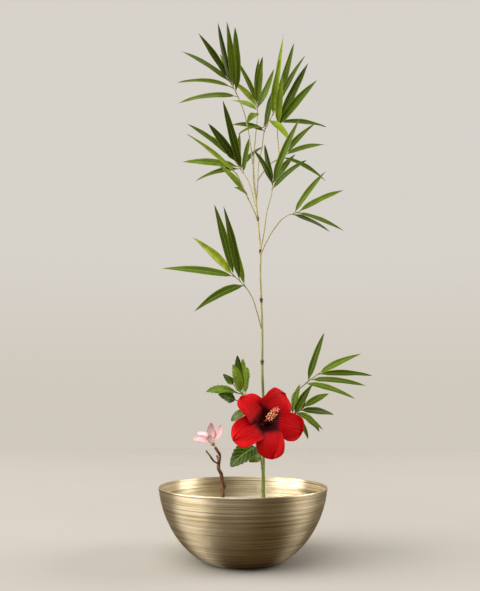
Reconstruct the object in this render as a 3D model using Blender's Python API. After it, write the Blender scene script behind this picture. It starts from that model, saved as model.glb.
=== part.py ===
"""Ikebana arrangement in a round brass bowl: a bamboo branch, a hibiscus and a small pink blossom.

Lengths are millimetres here and metres in the meshes. The origin is the centre of the bowl's foot,
+Z is up and the front faces -Y. Headings turn clockwise from straight up, as seen from the front.
A lean turns a piece out of that plane, towards the front where it is positive.
"""

import math

import bpy
from mathutils import Matrix, Vector

MM = 0.001
GAP = 0.3  # between neighbours that touch

# Bowl: turned about Z. The outer side is one curve from the foot to the rim.
BOWL_SIDE = ((54, 0), (83, 9), (117.5, 48), (125, 103))
BOWL_WALL = 2.0
BOWL_FLOOR = 3.0
BOWL_SEGMENTS = 48
SIDE_STEPS = 8
RIM_LIFT = 0.7
WATER_LEVEL = 88.0
POCKET_GAP = 0.5  # the water's pockets clear the kenzan and the stalks by this much

# Kenzan: a lead disc that holds tapered brass pins in staggered rows.
KENZAN_RADIUS = 40.0
KENZAN_BASE = BOWL_FLOOR + GAP
KENZAN_TOP = KENZAN_BASE + 8.0
KENZAN_EDGE = 0.8  # its bevel
KENZAN_SEGMENTS = 48
PIN_PITCH = 7.0
PIN_FIELD = 36.0
PIN_RADIUS = 0.8
PIN_HEIGHT = 12.0
STEM_FOOT = KENZAN_TOP + 4.0  # the pins stand this far into each stem, less their tips

# Stalks, each from its pin to its top: where it passes and its radius there.
CULM = (
    ((31.5, 6.1, STEM_FOOT), 2.3), ((31, 5, 89), 2.3), ((31, 5, 180), 2.2), ((31, 5, 237), 2.1),
    ((30, 5, 289), 2.0), ((30, 5, 338), 1.9), ((29, 5, 387), 1.8), ((28, 5, 434), 1.7),
    ((28, 5, 465), 1.7), ((24, 5, 519), 1.5), ((21, 5, 557), 1.3),
)
CULM_NODES = (196, 289, 386, 465, 519)  # heights of the rings on the culm
NODE_SWELL = 0.9
NODE_REACH = 2.5
HIBISCUS_STEM = (
    ((31.5, -6.1, STEM_FOOT), 2.0), ((29, -7, 90), 2.0), ((29, -8, 127), 1.9), ((26, -9, 146), 1.8),
    ((21, -10, 160), 1.8), ((17, -12, 180), 1.7), ((10, -16, 204), 1.5), ((3, -20, 226), 1.4),
    ((-1, -22, 240), 1.2),
)
PINK_TWIG = (
    ((-31.5, -6.1, STEM_FOOT), 3.0), ((-30, -6, 60), 3.0), ((-30, -6, 89), 2.9), ((-30, -6, 99), 2.7),
    ((-28, -6, 104), 3.2), ((-31, -8, 111), 2.6), ((-32, -10, 122), 2.8), ((-36, -13, 129), 2.5),
    ((-36, -14, 138), 2.7), ((-34, -17, 149), 2.0), ((-37, -20, 155), 2.1), ((-41, -23, 161.5), 1.7),
)
PINK_SIDE_TWIG = (
    ((-36, -14, 137), 1.5), ((-43, -20, 141), 1.4), ((-48, -27, 149), 1.2), ((-54, -32, 157), 1.1),
)
PINK_STUB = (((-36, -13, 139), 1.5), ((-39, -10, 149), 1.1))

# Leafy side shoots of the bamboo. Each has the stalk it grows from, its twig's route, and its blades:
# place along the twig, heading, lean, length, width, roll and bow. A roll of 0 faces the front and
# 90 faces up. The bow is how far the middle rises off the straight line.
SHOOTS = {
    "top_left": (
        "bamboo_culm",
        (
            (22, 5, 545), (18, 1, 572), (16, -3, 607), (10, -8, 656), (2, -15, 692), (-9, -22, 718),
            (-24, -28, 745),
        ),
        (
            (0.99, -40, 28, 84, 12, 16, 2),
            (0.96, -53, -6, 104, 12, 26, 4.5),
            (0.94, -15, 30, 96, 11, 32, -3),
            (0.98, -17, -12, 57, 9.5, 32, 3),
            (0.91, -7, 32, 101, 12, 16, 3),
            (0.87, -1, 2, 116, 14.5, 20, 3),
            (0.91, -98, 25, 96, 13, 29, 7),
            (0.84, -88, -17, 104, 13, 26, 7),
        ),
    ),
    "top_middle": (
        "bamboo_culm",
        ((22, 5, 545), (20, 9, 572), (18, 13, 612), (21, 18, 659), (25, 22, 709), (24, 24, 737)),
        (
            (0.99, 3, 31, 67, 9.5, 23, 3),
            (0.94, 7, 31, 76, 13, 20, 2),
            (0.90, 20, -11, 88, 13, 20, -4),
            (0.91, -59, 37, 70, 13, 23, 4),
            (0.88, -47, -37, 75, 13, 23, 4),
            (0.94, -25, 1, 97, 11, 32, 4),
            (0.85, -154, 45, 58, 14, 10, 3),
        ),
    ),
    "upper_right": (
        "bamboo_culm",
        (
            (22, 5, 545), (24, 5, 572), (26, 8, 611), (32, 11, 642), (37, 12, 674), (47, 10, 694),
            (57, 8, 711),
        ),
        (
            (0.77, 11, -14, 92, 11, 20, 3),
            (0.92, 8, 34, 89, 11, 20, 4),
            (0.95, 7, 4, 138, 9.5, 32, 2),
            (0.97, 15, 0, 129, 13, 20, -2),
            (0.99, 28, 4, 104, 12, 29, 4.5),
            (0.86, 150, 30, 74, 14, 13, 5),
            (0.74, -79, 0, 57, 12, 23, 6),
            (0.77, -124, 39, 70, 9.5, 32, 6),
        ),
    ),
    "right_low": (
        "shoot_upper_right",
        ((24, 5, 583), (36, 0, 599), (47, -3, 610), (60, -4, 617), (70, -8, 622)),
        (
            (0.93, 46, 14, 71, 12, 26, 4),
            (0.99, 61, -32, 96, 12.5, 26, 4.5),
            (0.87, 120, 0, 81, 12, 32, 6),
        ),
    ),
    "right_high": (
        "shoot_right_low",
        ((60, -4, 617), (58, 0, 645), (58, 4, 674), (61, 6, 685)),
        (
            (0.95, 25, 0, 122, 14, 13, 3),
            (0.88, 44, 20, 96, 15, 13, 4.5),
            (0.90, 5, 30, 80, 12, 23, 4),
            (0.99, 86, -20, 87, 13, 29, 4.5),
        ),
    ),
    "middle_right": (
        "bamboo_culm",
        ((28, 5, 465), (33, -2, 489), (39, -8, 529), (45, -12, 550), (48, -15, 574)),
        (
            (0.95, -31, 19, 61, 11, 26, 4),
            (0.97, -12, 12, 64, 11, 29, -3),
            (0.99, 25, 26, 108, 12.5, 20, 4.5),
            (0.96, 32, -24, 84, 12, 20, 4),
            (0.88, 58, 36, 74, 12, 29, 5),
        ),
    ),
    "far_right": (
        "bamboo_culm",
        ((28, 4, 458), (37, -2, 477), (49, -12, 496), (66, -22, 513), (87, -32, 518)),
        (
            (0.92, 39, 21, 80, 10.5, 26, 4.5),
            (0.99, 60, -15, 90, 10.5, 23, 4.5),
            (0.96, 119, 20, 82, 9, 26, 4),
            (0.87, 106, -29, 78, 8.5, 29, 4),
        ),
    ),
    "upper_left": (
        "bamboo_culm",
        ((23, 5, 528), (18, 10, 551), (9, 18, 587), (-5, 25, 612), (-16, 32, 633)),
        (
            (0.74, -17, 27, 116, 13, 0, 3),
            (0.91, -40, 24, 78, 15, 6, 4),
            (0.99, -38, -28, 88, 14, 10, 3),
            (0.97, -51, -2, 104, 12, 23, 5),
            (0.81, -80, -12, 102, 14.5, 16, 5),
            (0.77, -100, -17, 82, 12, 29, 7),
            (0.86, -10, 24, 48, 11, 20, 2),
            (0.81, 2, 25, 56, 9.5, 26, 3),
            (0.69, 12, 24, 62, 9.5, 23, 2),
            (0.77, 42, -12, 62, 10, 26, 6),
        ),
    ),
    "low_left": (
        "bamboo_culm",
        ((24, 4, 517), (12, -4, 542), (5, -8, 555), (-3, -14, 573), (-11, -20, 586)),
        (
            (0.97, -57, 24, 100, 9, 26, 4),
            (0.56, -39, -14, 76, 12, 23, 4.5),
            (0.45, -79, 60, 46, 10, 29, 4.5),
        ),
    ),
    "middle_left": (
        "bamboo_culm",
        ((29, 5, 339), (22, -2, 365), (11, -12, 393), (0, -20, 406), (-17, -28, 420)),
        (
            (0.96, -15, -2, 120, 13, 16, 2),
            (0.84, -13, 26, 118, 13, 20, 3),
            (0.72, -14, -1, 112, 12, 23, -4),
            (0.99, -54, 43, 96, 14, 20, 4.5),
            (0.94, -82, -8, 118, 14.5, 23, 6),
            (0.74, -123, 28, 98, 14.5, 20, 10.5),
        ),
    ),
    "lower_right": (
        "bamboo_culm",
        (
            (31, 5, 196), (57, 20, 199), (75, 28, 215), (79, 32, 239), (92, 30, 250), (112, 24, 266),
            (121, 20, 272),
        ),
        (
            (0.82, 21, -15, 90, 11, 23, 3),
            (0.99, 65, 43, 84, 11, 29, 4.5),
            (0.97, 91, -13, 92, 10.5, 26, 6),
            (0.86, 98, 31, 92, 10.5, 29, 6),
            (0.79, 110, 40, 92, 10.5, 26, 7),
        ),
    ),
    "lower_back": (
        "shoot_lower_right",
        ((66, 24, 206), (84, 38, 210), (97, 46, 219)),
        (
            (0.36, 19, -37, 64, 11, 26, 3),
            (0.48, 30, 30, 60, 12, 23, 3),
            (0.84, 16, 40, 38, 11, 26, 3),
            (0.99, 64, -30, 58, 12, 26, 4),
            (0.78, 97, -32, 70, 12, 29, 4.5),
            (0.56, 124, 45, 62, 11, 32, 5),
            (0.68, 131, -40, 66, 12, 29, 6),
            (0.42, 148, -28, 54, 11, 32, 4.5),
            (0.15, -5, -45, 40, 11, 26, 2),
        ),
    ),
}
TWIG_FOOT, TWIG_TIP = 1.2, 0.8  # radii
BLADE_STEPS = (0.03, 0.07, 0.15, 0.3, 0.5, 0.7, 0.88)
PETIOLE_PART = 0.06
PETIOLE_HALF = 0.7
BLADE_HALF_THICK = 0.4
BLADE_FOLD = 0.12  # how far the edges rise over the midrib, as a part of the half width

# Hibiscus flower, about its own axis. Petals lie along (distance from the axis, height along it).
FLOWER_CENTRE = Vector((33, -46, 200))
FLOWER_AXIS = Vector((0.24, -0.93, 0.26)).normalized()
PETAL_ANGLES = (38, 107, 177, 242, 314)
PETAL_LENGTHS = (52, 56, 55, 58, 50)
PETAL_STEPS = (0.04, 0.14, 0.26, 0.4, 0.55, 0.7, 0.82, 0.91, 0.97)
PETAL_CUP = 0.06
PETAL_RIDE = ((4.5, -18), (6, -10), (14, 1), (28, 6), (42, 5), (54, 0))  # for a length of 54
PETAL_LENGTH = 54.0
PETAL_WIDTHS = (48, 44, 44, 46, 42)
PETAL_TWIST = 32.0
PETAL_HALF_THICK = 0.5
COLUMN_RIDE = ((0, -17), (0, 0), (1.5, 20), (4, 42))
COLUMN_RADIUS = 1.6
FLOWER_STALK = ((19.5, -15, 187), (21.5, -18.5, 189))
CALYX_DEPTHS = (-27.5, -24.5, -21.5)
CALYX_RADII = (1.2, 1.2, 2.4, 4.2, 4.8)
ANTHER_COUNT = 12
ANTHER_RADIUS = 1.3
STIGMA_COUNT = 5
STIGMA_RADIUS = 1.1

# Hibiscus leaves: foot, heading, lean, length, width, roll and bow, as for the blades.
HIBISCUS_LEAVES = {
    "fore": ((-4, -25, 242), -16, 12, 42, 15, 20, 4),
    "tall": ((-1.5, -21, 243.5), -8, 0, 53, 14, 20, -3),
    "upright": ((1, -16.5, 243), -1, -14, 51, 14, 15, -4),
    "back": ((4.5, -13, 240), 4, -36, 49, 15, 30, 4),
    "upper": ((-9.5, -31, 245), -42, 36, 36, 12, 15, 4),
    "outer": ((-6, -26, 239), -87, 18, 50, 20, 45, 5),
    "folded": ((-3, -26.5, 226), -70, 38, 44, 16, 10, 4),
    "rear": ((6, -12, 213), -122, -12, 28, 16, 35, 4),
    "lower": ((21, -14, 161), -123, 30, 54, 30, 30, 8),
    "small": ((25.5, -14, 148), -112, 40, 24, 15, 20, 3),
}
SHEET_CORNERS = ((-1, 0), (-0.55, 1), (0, 1), (0.55, 1), (1, 0), (0.55, -1), (0, -1), (-0.55, -1))
LEAF_STEPS = (0.04, 0.14, 0.28, 0.44, 0.62, 0.79, 0.92)
LEAF_HALF_THICK = 0.45

# Pink blossom: its tube and petals, as for the leaves.
PINK_TUBE = ((-42.4, -23.9, 163.7), (-46, -26, 168.5))
PINK_TUBE_RADII = (1.6, 2.3, 2.8, 3.0, 2.7)
PINK_PETALS = {
    "upper": ((-46, -27, 171.5), -2, -10, 26, 12, 20, -4),
    "right": ((-43, -26, 171), 26, -12, 25, 12.5, 15, -4),
    "left": ((-49, -27.5, 169.5), -82, 15, 25, 12, 40, 4),
    "back": ((-47.5, -24, 170.5), -62, -25, 26, 11, 35, 4),
    "front": ((-47, -30, 169.5), -50, 66, 22, 12, 45, 4),
}


def clear_scene():
    for scene_object in list(bpy.data.objects):
        bpy.data.objects.remove(scene_object, do_unlink=True)


def material(name, colour, roughness, metallic=0.0, transmission=0.0):
    made = bpy.data.materials.new(name)
    made.use_nodes = True
    made.diffuse_color = (*colour, 1.0)
    shader = made.node_tree.nodes["Principled BSDF"]
    shader.inputs["Base Color"].default_value = (*colour, 1.0)
    shader.inputs["Roughness"].default_value = roughness
    shader.inputs["Metallic"].default_value = metallic
    shader.inputs["Transmission Weight"].default_value = transmission
    return made


def loft(name, first, rings, last, surface):
    """An object whose skin runs from a point through rings of equally many corners to a point."""
    sides = len(rings[0])
    points = [first, *(corner for ring in rings for corner in ring), last]
    faces = []
    for side in range(sides):
        beside = (side + 1) % sides
        faces.append((0, 1 + beside, 1 + side))
        for row in range(len(rings) - 1):
            low, high = 1 + row * sides, 1 + (row + 1) * sides
            faces.append((low + side, low + beside, high + beside, high + side))
        faces.append((len(points) - 1, high + side, high + beside))
    mesh = bpy.data.meshes.new(name)
    mesh.from_pydata([Vector(point) * MM for point in points], [], faces)
    mesh.shade_smooth()
    mesh.set_sharp_from_angle(angle=math.radians(50))
    mesh.materials.append(surface)
    made = bpy.data.objects.new(name, mesh)
    bpy.context.scene.collection.objects.link(made)
    return made


def as_helper(helper):
    helper.hide_render = True
    helper.display_type = "WIRE"
    return helper


def combine(target, operation, helpers):
    """Unites the target with the helpers or cuts them from it, with the exact solver."""
    group = bpy.data.collections.new(target.name + "_" + operation.lower())
    for helper in helpers:
        group.objects.link(as_helper(helper))
    boolean = target.modifiers.new(group.name, "BOOLEAN")
    boolean.operation = operation
    boolean.operand_type = "COLLECTION"
    boolean.collection = group
    boolean.solver = "EXACT"


def direction(heading, lean):
    heading, lean = math.radians(heading), math.radians(lean)
    flat = math.cos(lean)
    return Vector((flat * math.sin(heading), -math.sin(lean), flat * math.cos(heading)))


def facing(along, roll):
    """The upper side's normal of a blade that points along this way."""
    front = Vector((0, -1, 0))
    front = (front - along * front.dot(along)).normalized()
    up = along.cross(front)
    if up.z < 0:
        up.negate()
    return front * math.cos(math.radians(roll)) + up * math.sin(math.radians(roll))


def smooth_route(points, steps):
    """Points on a Catmull-Rom curve through the route, with this many steps to each span."""
    route = [Vector(point) for point in points]
    route = [route[0] * 2 - route[1], *route, route[-1] * 2 - route[-2]]
    curve = []
    for i in range(1, len(route) - 2):
        before, start, end, after = route[i - 1 : i + 3]
        for step in range(steps):
            t = step / steps
            bend = 2 * before - 5 * start + 4 * end - after
            twist = 3 * (start - end) + after - before
            curve.append(start + 0.5 * t * (end - before + t * (bend + t * twist)))
    return [*curve, route[-2]]


def along_route(route, part):
    """The point at this part of a route's length."""
    lengths = [(b - a).length for a, b in zip(route, route[1:])]
    left = part * sum(lengths)
    for a, b, length in zip(route, route[1:], lengths):
        if left <= length:
            return a.lerp(b, left / length)
        left -= length
    return route[-1].copy()


def tube(name, route, radii, sides, surface, blunt=True):
    """A round stalk along a route. It ends in a low point, or in a long one if it isn't blunt."""
    rings = []
    side = Vector((1, 0, 0))
    for i, (centre, radius) in enumerate(zip(route, radii)):
        ahead = (route[min(i + 1, len(route) - 1)] - route[max(i - 1, 0)]).normalized()
        side = (side - ahead * side.dot(ahead)).normalized()
        across = ahead.cross(side)
        turns = [math.tau * corner / sides for corner in range(sides)]
        rings.append([centre + radius * (math.cos(a) * side + math.sin(a) * across) for a in turns])
    start = (route[0] - route[1]).normalized()
    end = (route[-1] - route[-2]).normalized()
    tip_length = radii[-1] * (0.3 if blunt else 2.0)
    return loft(name, route[0] + start * 0.2, rings, route[-1] + end * tip_length, surface)


def stalk(name, stations, sides, surface, steps=2, grow=0.0, swellings=()):
    """A tube through (point, radius) stations, thicker where a swelling's height is passed."""
    route = smooth_route([point for point, _ in stations], steps)
    marks = smooth_route([(radius, 0, 0) for _, radius in stations], steps)
    radii = [mark.x + grow for mark in marks]
    for height in swellings:
        low = max(i for i, point in enumerate(route) if point.z <= height)
        share = (height - route[low].z) / (route[low + 1].z - route[low].z)
        centre = route[low].lerp(route[low + 1], share)
        upward = (route[low + 1] - route[low]).normalized()
        radius = radii[low]
        below = sum(point.z < height - 2 * NODE_REACH for point in route)
        above = sum(point.z <= height + 2 * NODE_REACH for point in route)
        route[below:above] = [centre - upward * NODE_REACH, centre, centre + upward * NODE_REACH]
        radii[below:above] = [radius, radius + NODE_SWELL, radius]
    return tube(name, route, radii, sides, surface)


def blade_half(part, width):
    """Half the width of a bamboo blade at this part of its length, its short stalk included."""
    if part <= PETIOLE_PART:
        return PETIOLE_HALF
    open_part = (part - PETIOLE_PART) / (1 - PETIOLE_PART)
    shape = open_part**0.5 * (1 - open_part) ** 0.9 / 0.4015
    return max(PETIOLE_HALF * (1 - open_part), 0.5 * width * shape)


def bowed_line(foot, heading, lean, length, roll, bow):
    """A function from part of the length to the point there, and the upper side's normal."""
    along = direction(heading, lean)
    upper = facing(along, roll)

    def point_at(part):
        return Vector(foot) + along * (part * length) + upper * (4 * bow * part * (1 - part))

    return point_at, upper


def blade(name, foot, heading, lean, length, width, roll, bow, surface):
    """A bamboo leaf: four corners to a ring, left edge, upper side, right edge and lower side."""
    point_at, upper = bowed_line(foot, heading, lean, length, roll, bow)
    rings = []
    for part in BLADE_STEPS:
        centre = point_at(part)
        ahead = (point_at(part + 0.02) - point_at(part - 0.02)).normalized()
        across = ahead.cross(upper).normalized()
        normal = across.cross(ahead)
        half = blade_half(part, width)
        thick = BLADE_HALF_THICK if part > PETIOLE_PART else PETIOLE_HALF
        lift = normal * (BLADE_FOLD * half if part > PETIOLE_PART else 0)
        rings.append(
            [centre - across * half + lift, centre + normal * thick,
             centre + across * half + lift, centre - normal * thick]
        )
    return loft(name, point_at(0), rings, point_at(1), surface)


def shoot(name, parent, route, blades, surface):
    """A twig with its blades, cut clear of the stalk that it grows from."""
    line = smooth_route(route, 2)
    radii = [TWIG_FOOT + (TWIG_TIP - TWIG_FOOT) * i / (len(line) - 1) for i in range(len(line))]
    twig = tube("shoot_" + name, line, radii, 6, surface, blunt=False)
    leaves = []
    for number, (place, *shape) in enumerate(blades, 1):
        foot = along_route(line, place)
        leaves.append(blade(f"{name}_blade_{number}", foot, *shape, surface))
    combine(twig, "UNION", leaves)
    if parent == "bamboo_culm":
        cutter = stalk(name + "_clearance", CULM, 12, surface, grow=GAP, swellings=CULM_NODES)
    else:
        parent_line = smooth_route(SHOOTS[parent.removeprefix("shoot_")][1], 2)
        cutter = tube(name + "_clearance", parent_line, [TWIG_FOOT + GAP] * len(parent_line), 8, surface)
    combine(twig, "DIFFERENCE", [cutter])
    return twig


def leaf_half(part, width):
    """Half the width of a hibiscus leaf at this part of its length."""
    shape = part**0.62 * (1 - part) ** 0.72 / 0.4
    return 0.5 * width * min(shape, 1.0) if part > 0.05 else 0.8


def petal_half(part, width):
    """Half the width of a petal, broadest near its rounded end."""
    return 0.5 * width * min(0.08 + 1.5 * part**1.2, 1.0) * (1 - part**5) ** 0.5


def sheet(name, point_at, across, twist, half_at, steps, cup, thick, surface):
    """A leaf or petal of eight-cornered rings: an edge, three upper corners, an edge, three lower."""
    rings = []
    for part in steps:
        centre = point_at(part)
        ahead = (point_at(part + 0.02) - point_at(part - 0.02)).normalized()
        turned = Matrix.Rotation(math.radians(twist) * part**0.5, 3, ahead) @ across
        across_here = (turned - ahead * turned.dot(ahead)).normalized()
        normal = across_here.cross(ahead)
        half = half_at(part)
        ring = []
        for place, face in SHEET_CORNERS:
            rise = cup * half * place * place + thick * face
            ring.append(centre + across_here * (half * place) + normal * rise)
        rings.append(ring)
    return loft(name, point_at(0), rings, point_at(1), surface)


def simple_leaf(name, foot, heading, lean, length, width, roll, bow, half_at, cup, thick, surface):
    point_at, upper = bowed_line(foot, heading, lean, length, roll, bow)
    across = direction(heading, lean).cross(upper)

    def half(part):
        return half_at(part, width)

    return sheet(name, point_at, across, 0, half, LEAF_STEPS, cup, thick, surface)


def circle(radius, height, segments):
    turns = [math.tau * i / segments for i in range(segments)]
    return [Vector((radius * math.cos(a), radius * math.sin(a), height)) for a in turns]


def side_curve(inset):
    """Points up the bowl's side, moved in by this much square to it."""
    start, low, high, end = (Vector((radius, height)) for radius, height in BOWL_SIDE)
    points = []
    for i in range(SIDE_STEPS + 1):
        t = i / SIDE_STEPS
        s = 1 - t
        point = s**3 * start + 3 * s * s * t * low + 3 * s * t * t * high + t**3 * end
        slope = s * s * (low - start) + 2 * s * t * (high - low) + t * t * (end - high)
        slope.normalize()
        points.append(point + Vector((-slope.y, slope.x)) * inset)
    return points


def inner_radius(height, clearance):
    """The bowl's inner radius at a height, less a clearance."""
    side = side_curve(BOWL_WALL + clearance)
    above = next(i for i, point in enumerate(side) if point.y > height)
    low, high = side[above - 1], side[above]
    return low.x + (high.x - low.x) * (height - low.y) / (high.y - low.y)


def bowl(surface):
    outer = side_curve(0)
    inner = [point for point in side_curve(BOWL_WALL) if point.y > BOWL_FLOOR + 1]
    profile = [(point.x, point.y) for point in outer]
    rim = 0.5 * (outer[-1] + inner[-1])
    profile.append((rim.x, rim.y + RIM_LIFT))
    profile += [(point.x, point.y) for point in reversed(inner)]
    profile.append((inner_radius(BOWL_FLOOR + 0.5, 0) - 3, BOWL_FLOOR))
    rings = [circle(radius, height, BOWL_SEGMENTS) for radius, height in profile]
    return loft("bowl", (0, 0, 0), rings, (0, 0, BOWL_FLOOR), surface)


def pin_places():
    """Where the pins stand: staggered rows over a round field."""
    row_pitch = PIN_PITCH * math.sqrt(0.75)
    rows = int(PIN_FIELD / row_pitch)
    columns = int(PIN_FIELD / PIN_PITCH) + 1
    for row in range(-rows, rows + 1):
        for column in range(-columns, columns + 1):
            place = Vector(((column + 0.5 * (row % 2)) * PIN_PITCH, row * row_pitch))
            if place.length < PIN_FIELD:
                yield place


def pins(name, places, grow, surface):
    """Tapered pins at these places as one mesh, grown by a clearance where they are a cutter."""
    corners, faces = [], []
    foot = KENZAN_TOP - 1.0
    for place in places:
        start = len(corners)
        ring = circle(PIN_RADIUS + grow, foot, 6)
        corners += [point + Vector((place.x, place.y, 0)) for point in ring]
        corners.append(Vector((place.x, place.y, KENZAN_TOP + PIN_HEIGHT + 3 * grow)))
        faces.append([start + i for i in reversed(range(6))])
        faces += [(start + i, start + (i + 1) % 6, start + 6) for i in range(6)]
    mesh = bpy.data.meshes.new(name)
    mesh.from_pydata([corner * MM for corner in corners], [], faces)
    mesh.materials.append(surface)
    made = bpy.data.objects.new(name, mesh)
    bpy.context.scene.collection.objects.link(made)
    return made


def kenzan(surface):
    profile = (
        (KENZAN_RADIUS - KENZAN_EDGE, KENZAN_BASE), (KENZAN_RADIUS, KENZAN_BASE + KENZAN_EDGE),
        (KENZAN_RADIUS, KENZAN_TOP - KENZAN_EDGE), (KENZAN_RADIUS - KENZAN_EDGE, KENZAN_TOP),
    )
    rings = [circle(radius, height, KENZAN_SEGMENTS) for radius, height in profile]
    disc = loft("kenzan", (0, 0, KENZAN_BASE), rings, (0, 0, KENZAN_TOP), surface)
    combine(disc, "UNION", [pins("kenzan_pins", pin_places(), 0, surface)])
    return disc


def water(surface):
    """The water fills the bowl around the kenzan and the three stalks."""
    floor = BOWL_FLOOR + GAP
    between = [point.y for point in side_curve(0) if floor + 3 < point.y < WATER_LEVEL - 2]
    rings = [circle(inner_radius(floor + 2, GAP) - 6, floor, BOWL_SEGMENTS)]
    for height in (floor + 2, *between, WATER_LEVEL):
        rings.append(circle(inner_radius(height, GAP), height, BOWL_SEGMENTS))
    body = loft("water", (0, 0, floor), rings, (0, 0, WATER_LEVEL), surface)
    pocket_side = KENZAN_RADIUS + POCKET_GAP
    pocket_top = KENZAN_TOP + PIN_HEIGHT + 2 * POCKET_GAP
    pocket = [
        circle(pocket_side, 0, KENZAN_SEGMENTS),
        circle(pocket_side, KENZAN_TOP + POCKET_GAP, KENZAN_SEGMENTS),
        circle(PIN_FIELD + 2, pocket_top, KENZAN_SEGMENTS),
    ]
    cutters = [loft("kenzan_pocket", (0, 0, 0), pocket, (0, 0, pocket_top), surface)]
    for number, stations in enumerate((CULM, HIBISCUS_STEM, PINK_TWIG), 1):
        cutters.append(stalk(f"stalk_pocket_{number}", stations, 10, surface, grow=POCKET_GAP))
    combine(body, "DIFFERENCE", cutters)
    return body


def on_its_pin(stem, stations, surface):
    """Cuts the hole that the pin has made in a stalk's foot."""
    foot = Vector(stations[0][0])
    place = min(pin_places(), key=lambda spot: (spot - foot.xy).length)
    combine(stem, "DIFFERENCE", [pins(stem.name + "_pin_hole", [place], GAP, surface)])


def flower_frame():
    """The flower's own axes: across to the right, up, and along its axis."""
    right = Vector((0, 0, 1)).cross(FLOWER_AXIS).normalized()
    up = FLOWER_AXIS.cross(right)
    return right, up


def hibiscus_petal(number, angle, length, width, surface):
    right, up = flower_frame()
    turn = math.radians(angle)
    outward = right * math.sin(turn) + up * math.cos(turn)
    stretch = length / PETAL_LENGTH
    ride = [FLOWER_CENTRE + outward * (away * stretch) + FLOWER_AXIS * height for away, height in PETAL_RIDE]
    line = smooth_route(ride, 4)
    across = outward.cross(FLOWER_AXIS)

    def point_at(part):
        return along_route(line, part)

    def half_at(part):
        return petal_half(part, width)

    name = f"hibiscus_petal_{number}"
    return sheet(
        name, point_at, across, PETAL_TWIST, half_at, PETAL_STEPS, PETAL_CUP, PETAL_HALF_THICK, surface
    )


def bead(name, centre, radius, surface):
    """A small six-sided bead, for an anther."""
    rings = []
    for height in (-0.45 * radius, 0.45 * radius):
        rings.append([centre + point for point in circle(radius * 0.9, height, 6)])
    top = Vector((0, 0, radius))
    return loft(name, centre - top, rings, centre + top, surface)


def staminal_column(surface):
    right, up = flower_frame()
    lean = up + right * 0.6
    ride = [FLOWER_CENTRE + lean * away + FLOWER_AXIS * height for away, height in COLUMN_RIDE]
    line = smooth_route(ride, 3)
    column = tube("staminal_column", line, [COLUMN_RADIUS] * len(line), 8, surface)
    beads = []
    for i in range(ANTHER_COUNT):
        centre = along_route(line, 0.5 + 0.42 * i / (ANTHER_COUNT - 1))
        turn = i * math.radians(137.5)
        out = right * math.cos(turn) + up * math.sin(turn)
        beads.append(bead(f"anther_{i + 1}", centre + out * (COLUMN_RADIUS + 0.7), ANTHER_RADIUS, surface))
    for i in range(STIGMA_COUNT):
        turn = math.tau * i / STIGMA_COUNT
        out = right * math.cos(turn) + up * math.sin(turn)
        end = line[-1] + FLOWER_AXIS * 4 + out * 4
        reach = [line[-1] - FLOWER_AXIS, line[-1] + FLOWER_AXIS * 1.5 + out * 1.5, end]
        beads.append(tube(f"style_{i + 1}", reach, [0.6, 0.6, STIGMA_RADIUS], 6, surface))
    combine(column, "UNION", beads)
    return column


def calyx(surface):
    """The green cup behind the petals and the flower's own stalk, which ends beside the stem."""
    ride = [Vector(point) for point in FLOWER_STALK]
    ride += [FLOWER_CENTRE + FLOWER_AXIS * depth for depth in CALYX_DEPTHS]
    return tube("hibiscus_calyx", ride, CALYX_RADII, 10, surface)


def pink_blossom(tube_surface, petal_surface):
    foot, top = (Vector(point) for point in PINK_TUBE)
    line = smooth_route([foot, foot.lerp(top, 0.5), top], 2)
    tube("pink_calyx", line, PINK_TUBE_RADII, 8, tube_surface)
    for name, shape in PINK_PETALS.items():
        simple_leaf("pink_petal_" + name, *shape, leaf_half, 0.2, 0.35, petal_surface)


def build():
    clear_scene()
    brass = material("brass", (0.66, 0.49, 0.27), 0.32, metallic=1.0)
    lead = material("lead_and_pins", (0.42, 0.41, 0.38), 0.45, metallic=1.0)
    still_water = material("water", (0.85, 0.9, 0.88), 0.02, transmission=1.0)
    cane = material("bamboo_cane", (0.55, 0.52, 0.22), 0.5)
    leaf_green = material("bamboo_leaf", (0.16, 0.27, 0.05), 0.45)
    stem_green = material("hibiscus_stem", (0.33, 0.42, 0.1), 0.5)
    broad_green = material("hibiscus_leaf", (0.07, 0.16, 0.03), 0.35)
    red = material("hibiscus_petal", (0.62, 0.02, 0.03), 0.5)
    orange = material("stamens", (0.8, 0.3, 0.08), 0.6)
    bark = material("bark", (0.2, 0.09, 0.05), 0.7)
    peach = material("pink_calyx", (0.75, 0.4, 0.27), 0.5)
    pink = material("pink_petal", (0.88, 0.6, 0.62), 0.5)

    bowl(brass)
    kenzan(lead)
    water(still_water)

    culm = stalk("bamboo_culm", CULM, 10, cane, swellings=CULM_NODES)
    on_its_pin(culm, CULM, cane)
    for name, (parent, route, blades) in SHOOTS.items():
        shoot(name, parent, route, blades, leaf_green)

    stem = stalk("hibiscus_stem", HIBISCUS_STEM, 10, stem_green)
    on_its_pin(stem, HIBISCUS_STEM, stem_green)
    for name, shape in HIBISCUS_LEAVES.items():
        simple_leaf("hibiscus_leaf_" + name, *shape, leaf_half, 0.15, LEAF_HALF_THICK, broad_green)
    calyx(stem_green)
    for number, shape in enumerate(zip(PETAL_ANGLES, PETAL_LENGTHS, PETAL_WIDTHS), 1):
        hibiscus_petal(number, *shape, red)
    staminal_column(orange)

    twig = stalk("pink_twig", PINK_TWIG, 8, bark)
    side_twigs = [stalk("pink_side_twig", PINK_SIDE_TWIG, 6, bark), stalk("pink_stub", PINK_STUB, 6, bark)]
    combine(twig, "UNION", side_twigs)
    on_its_pin(twig, PINK_TWIG, bark)
    pink_blossom(peach, pink)


build()
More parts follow.
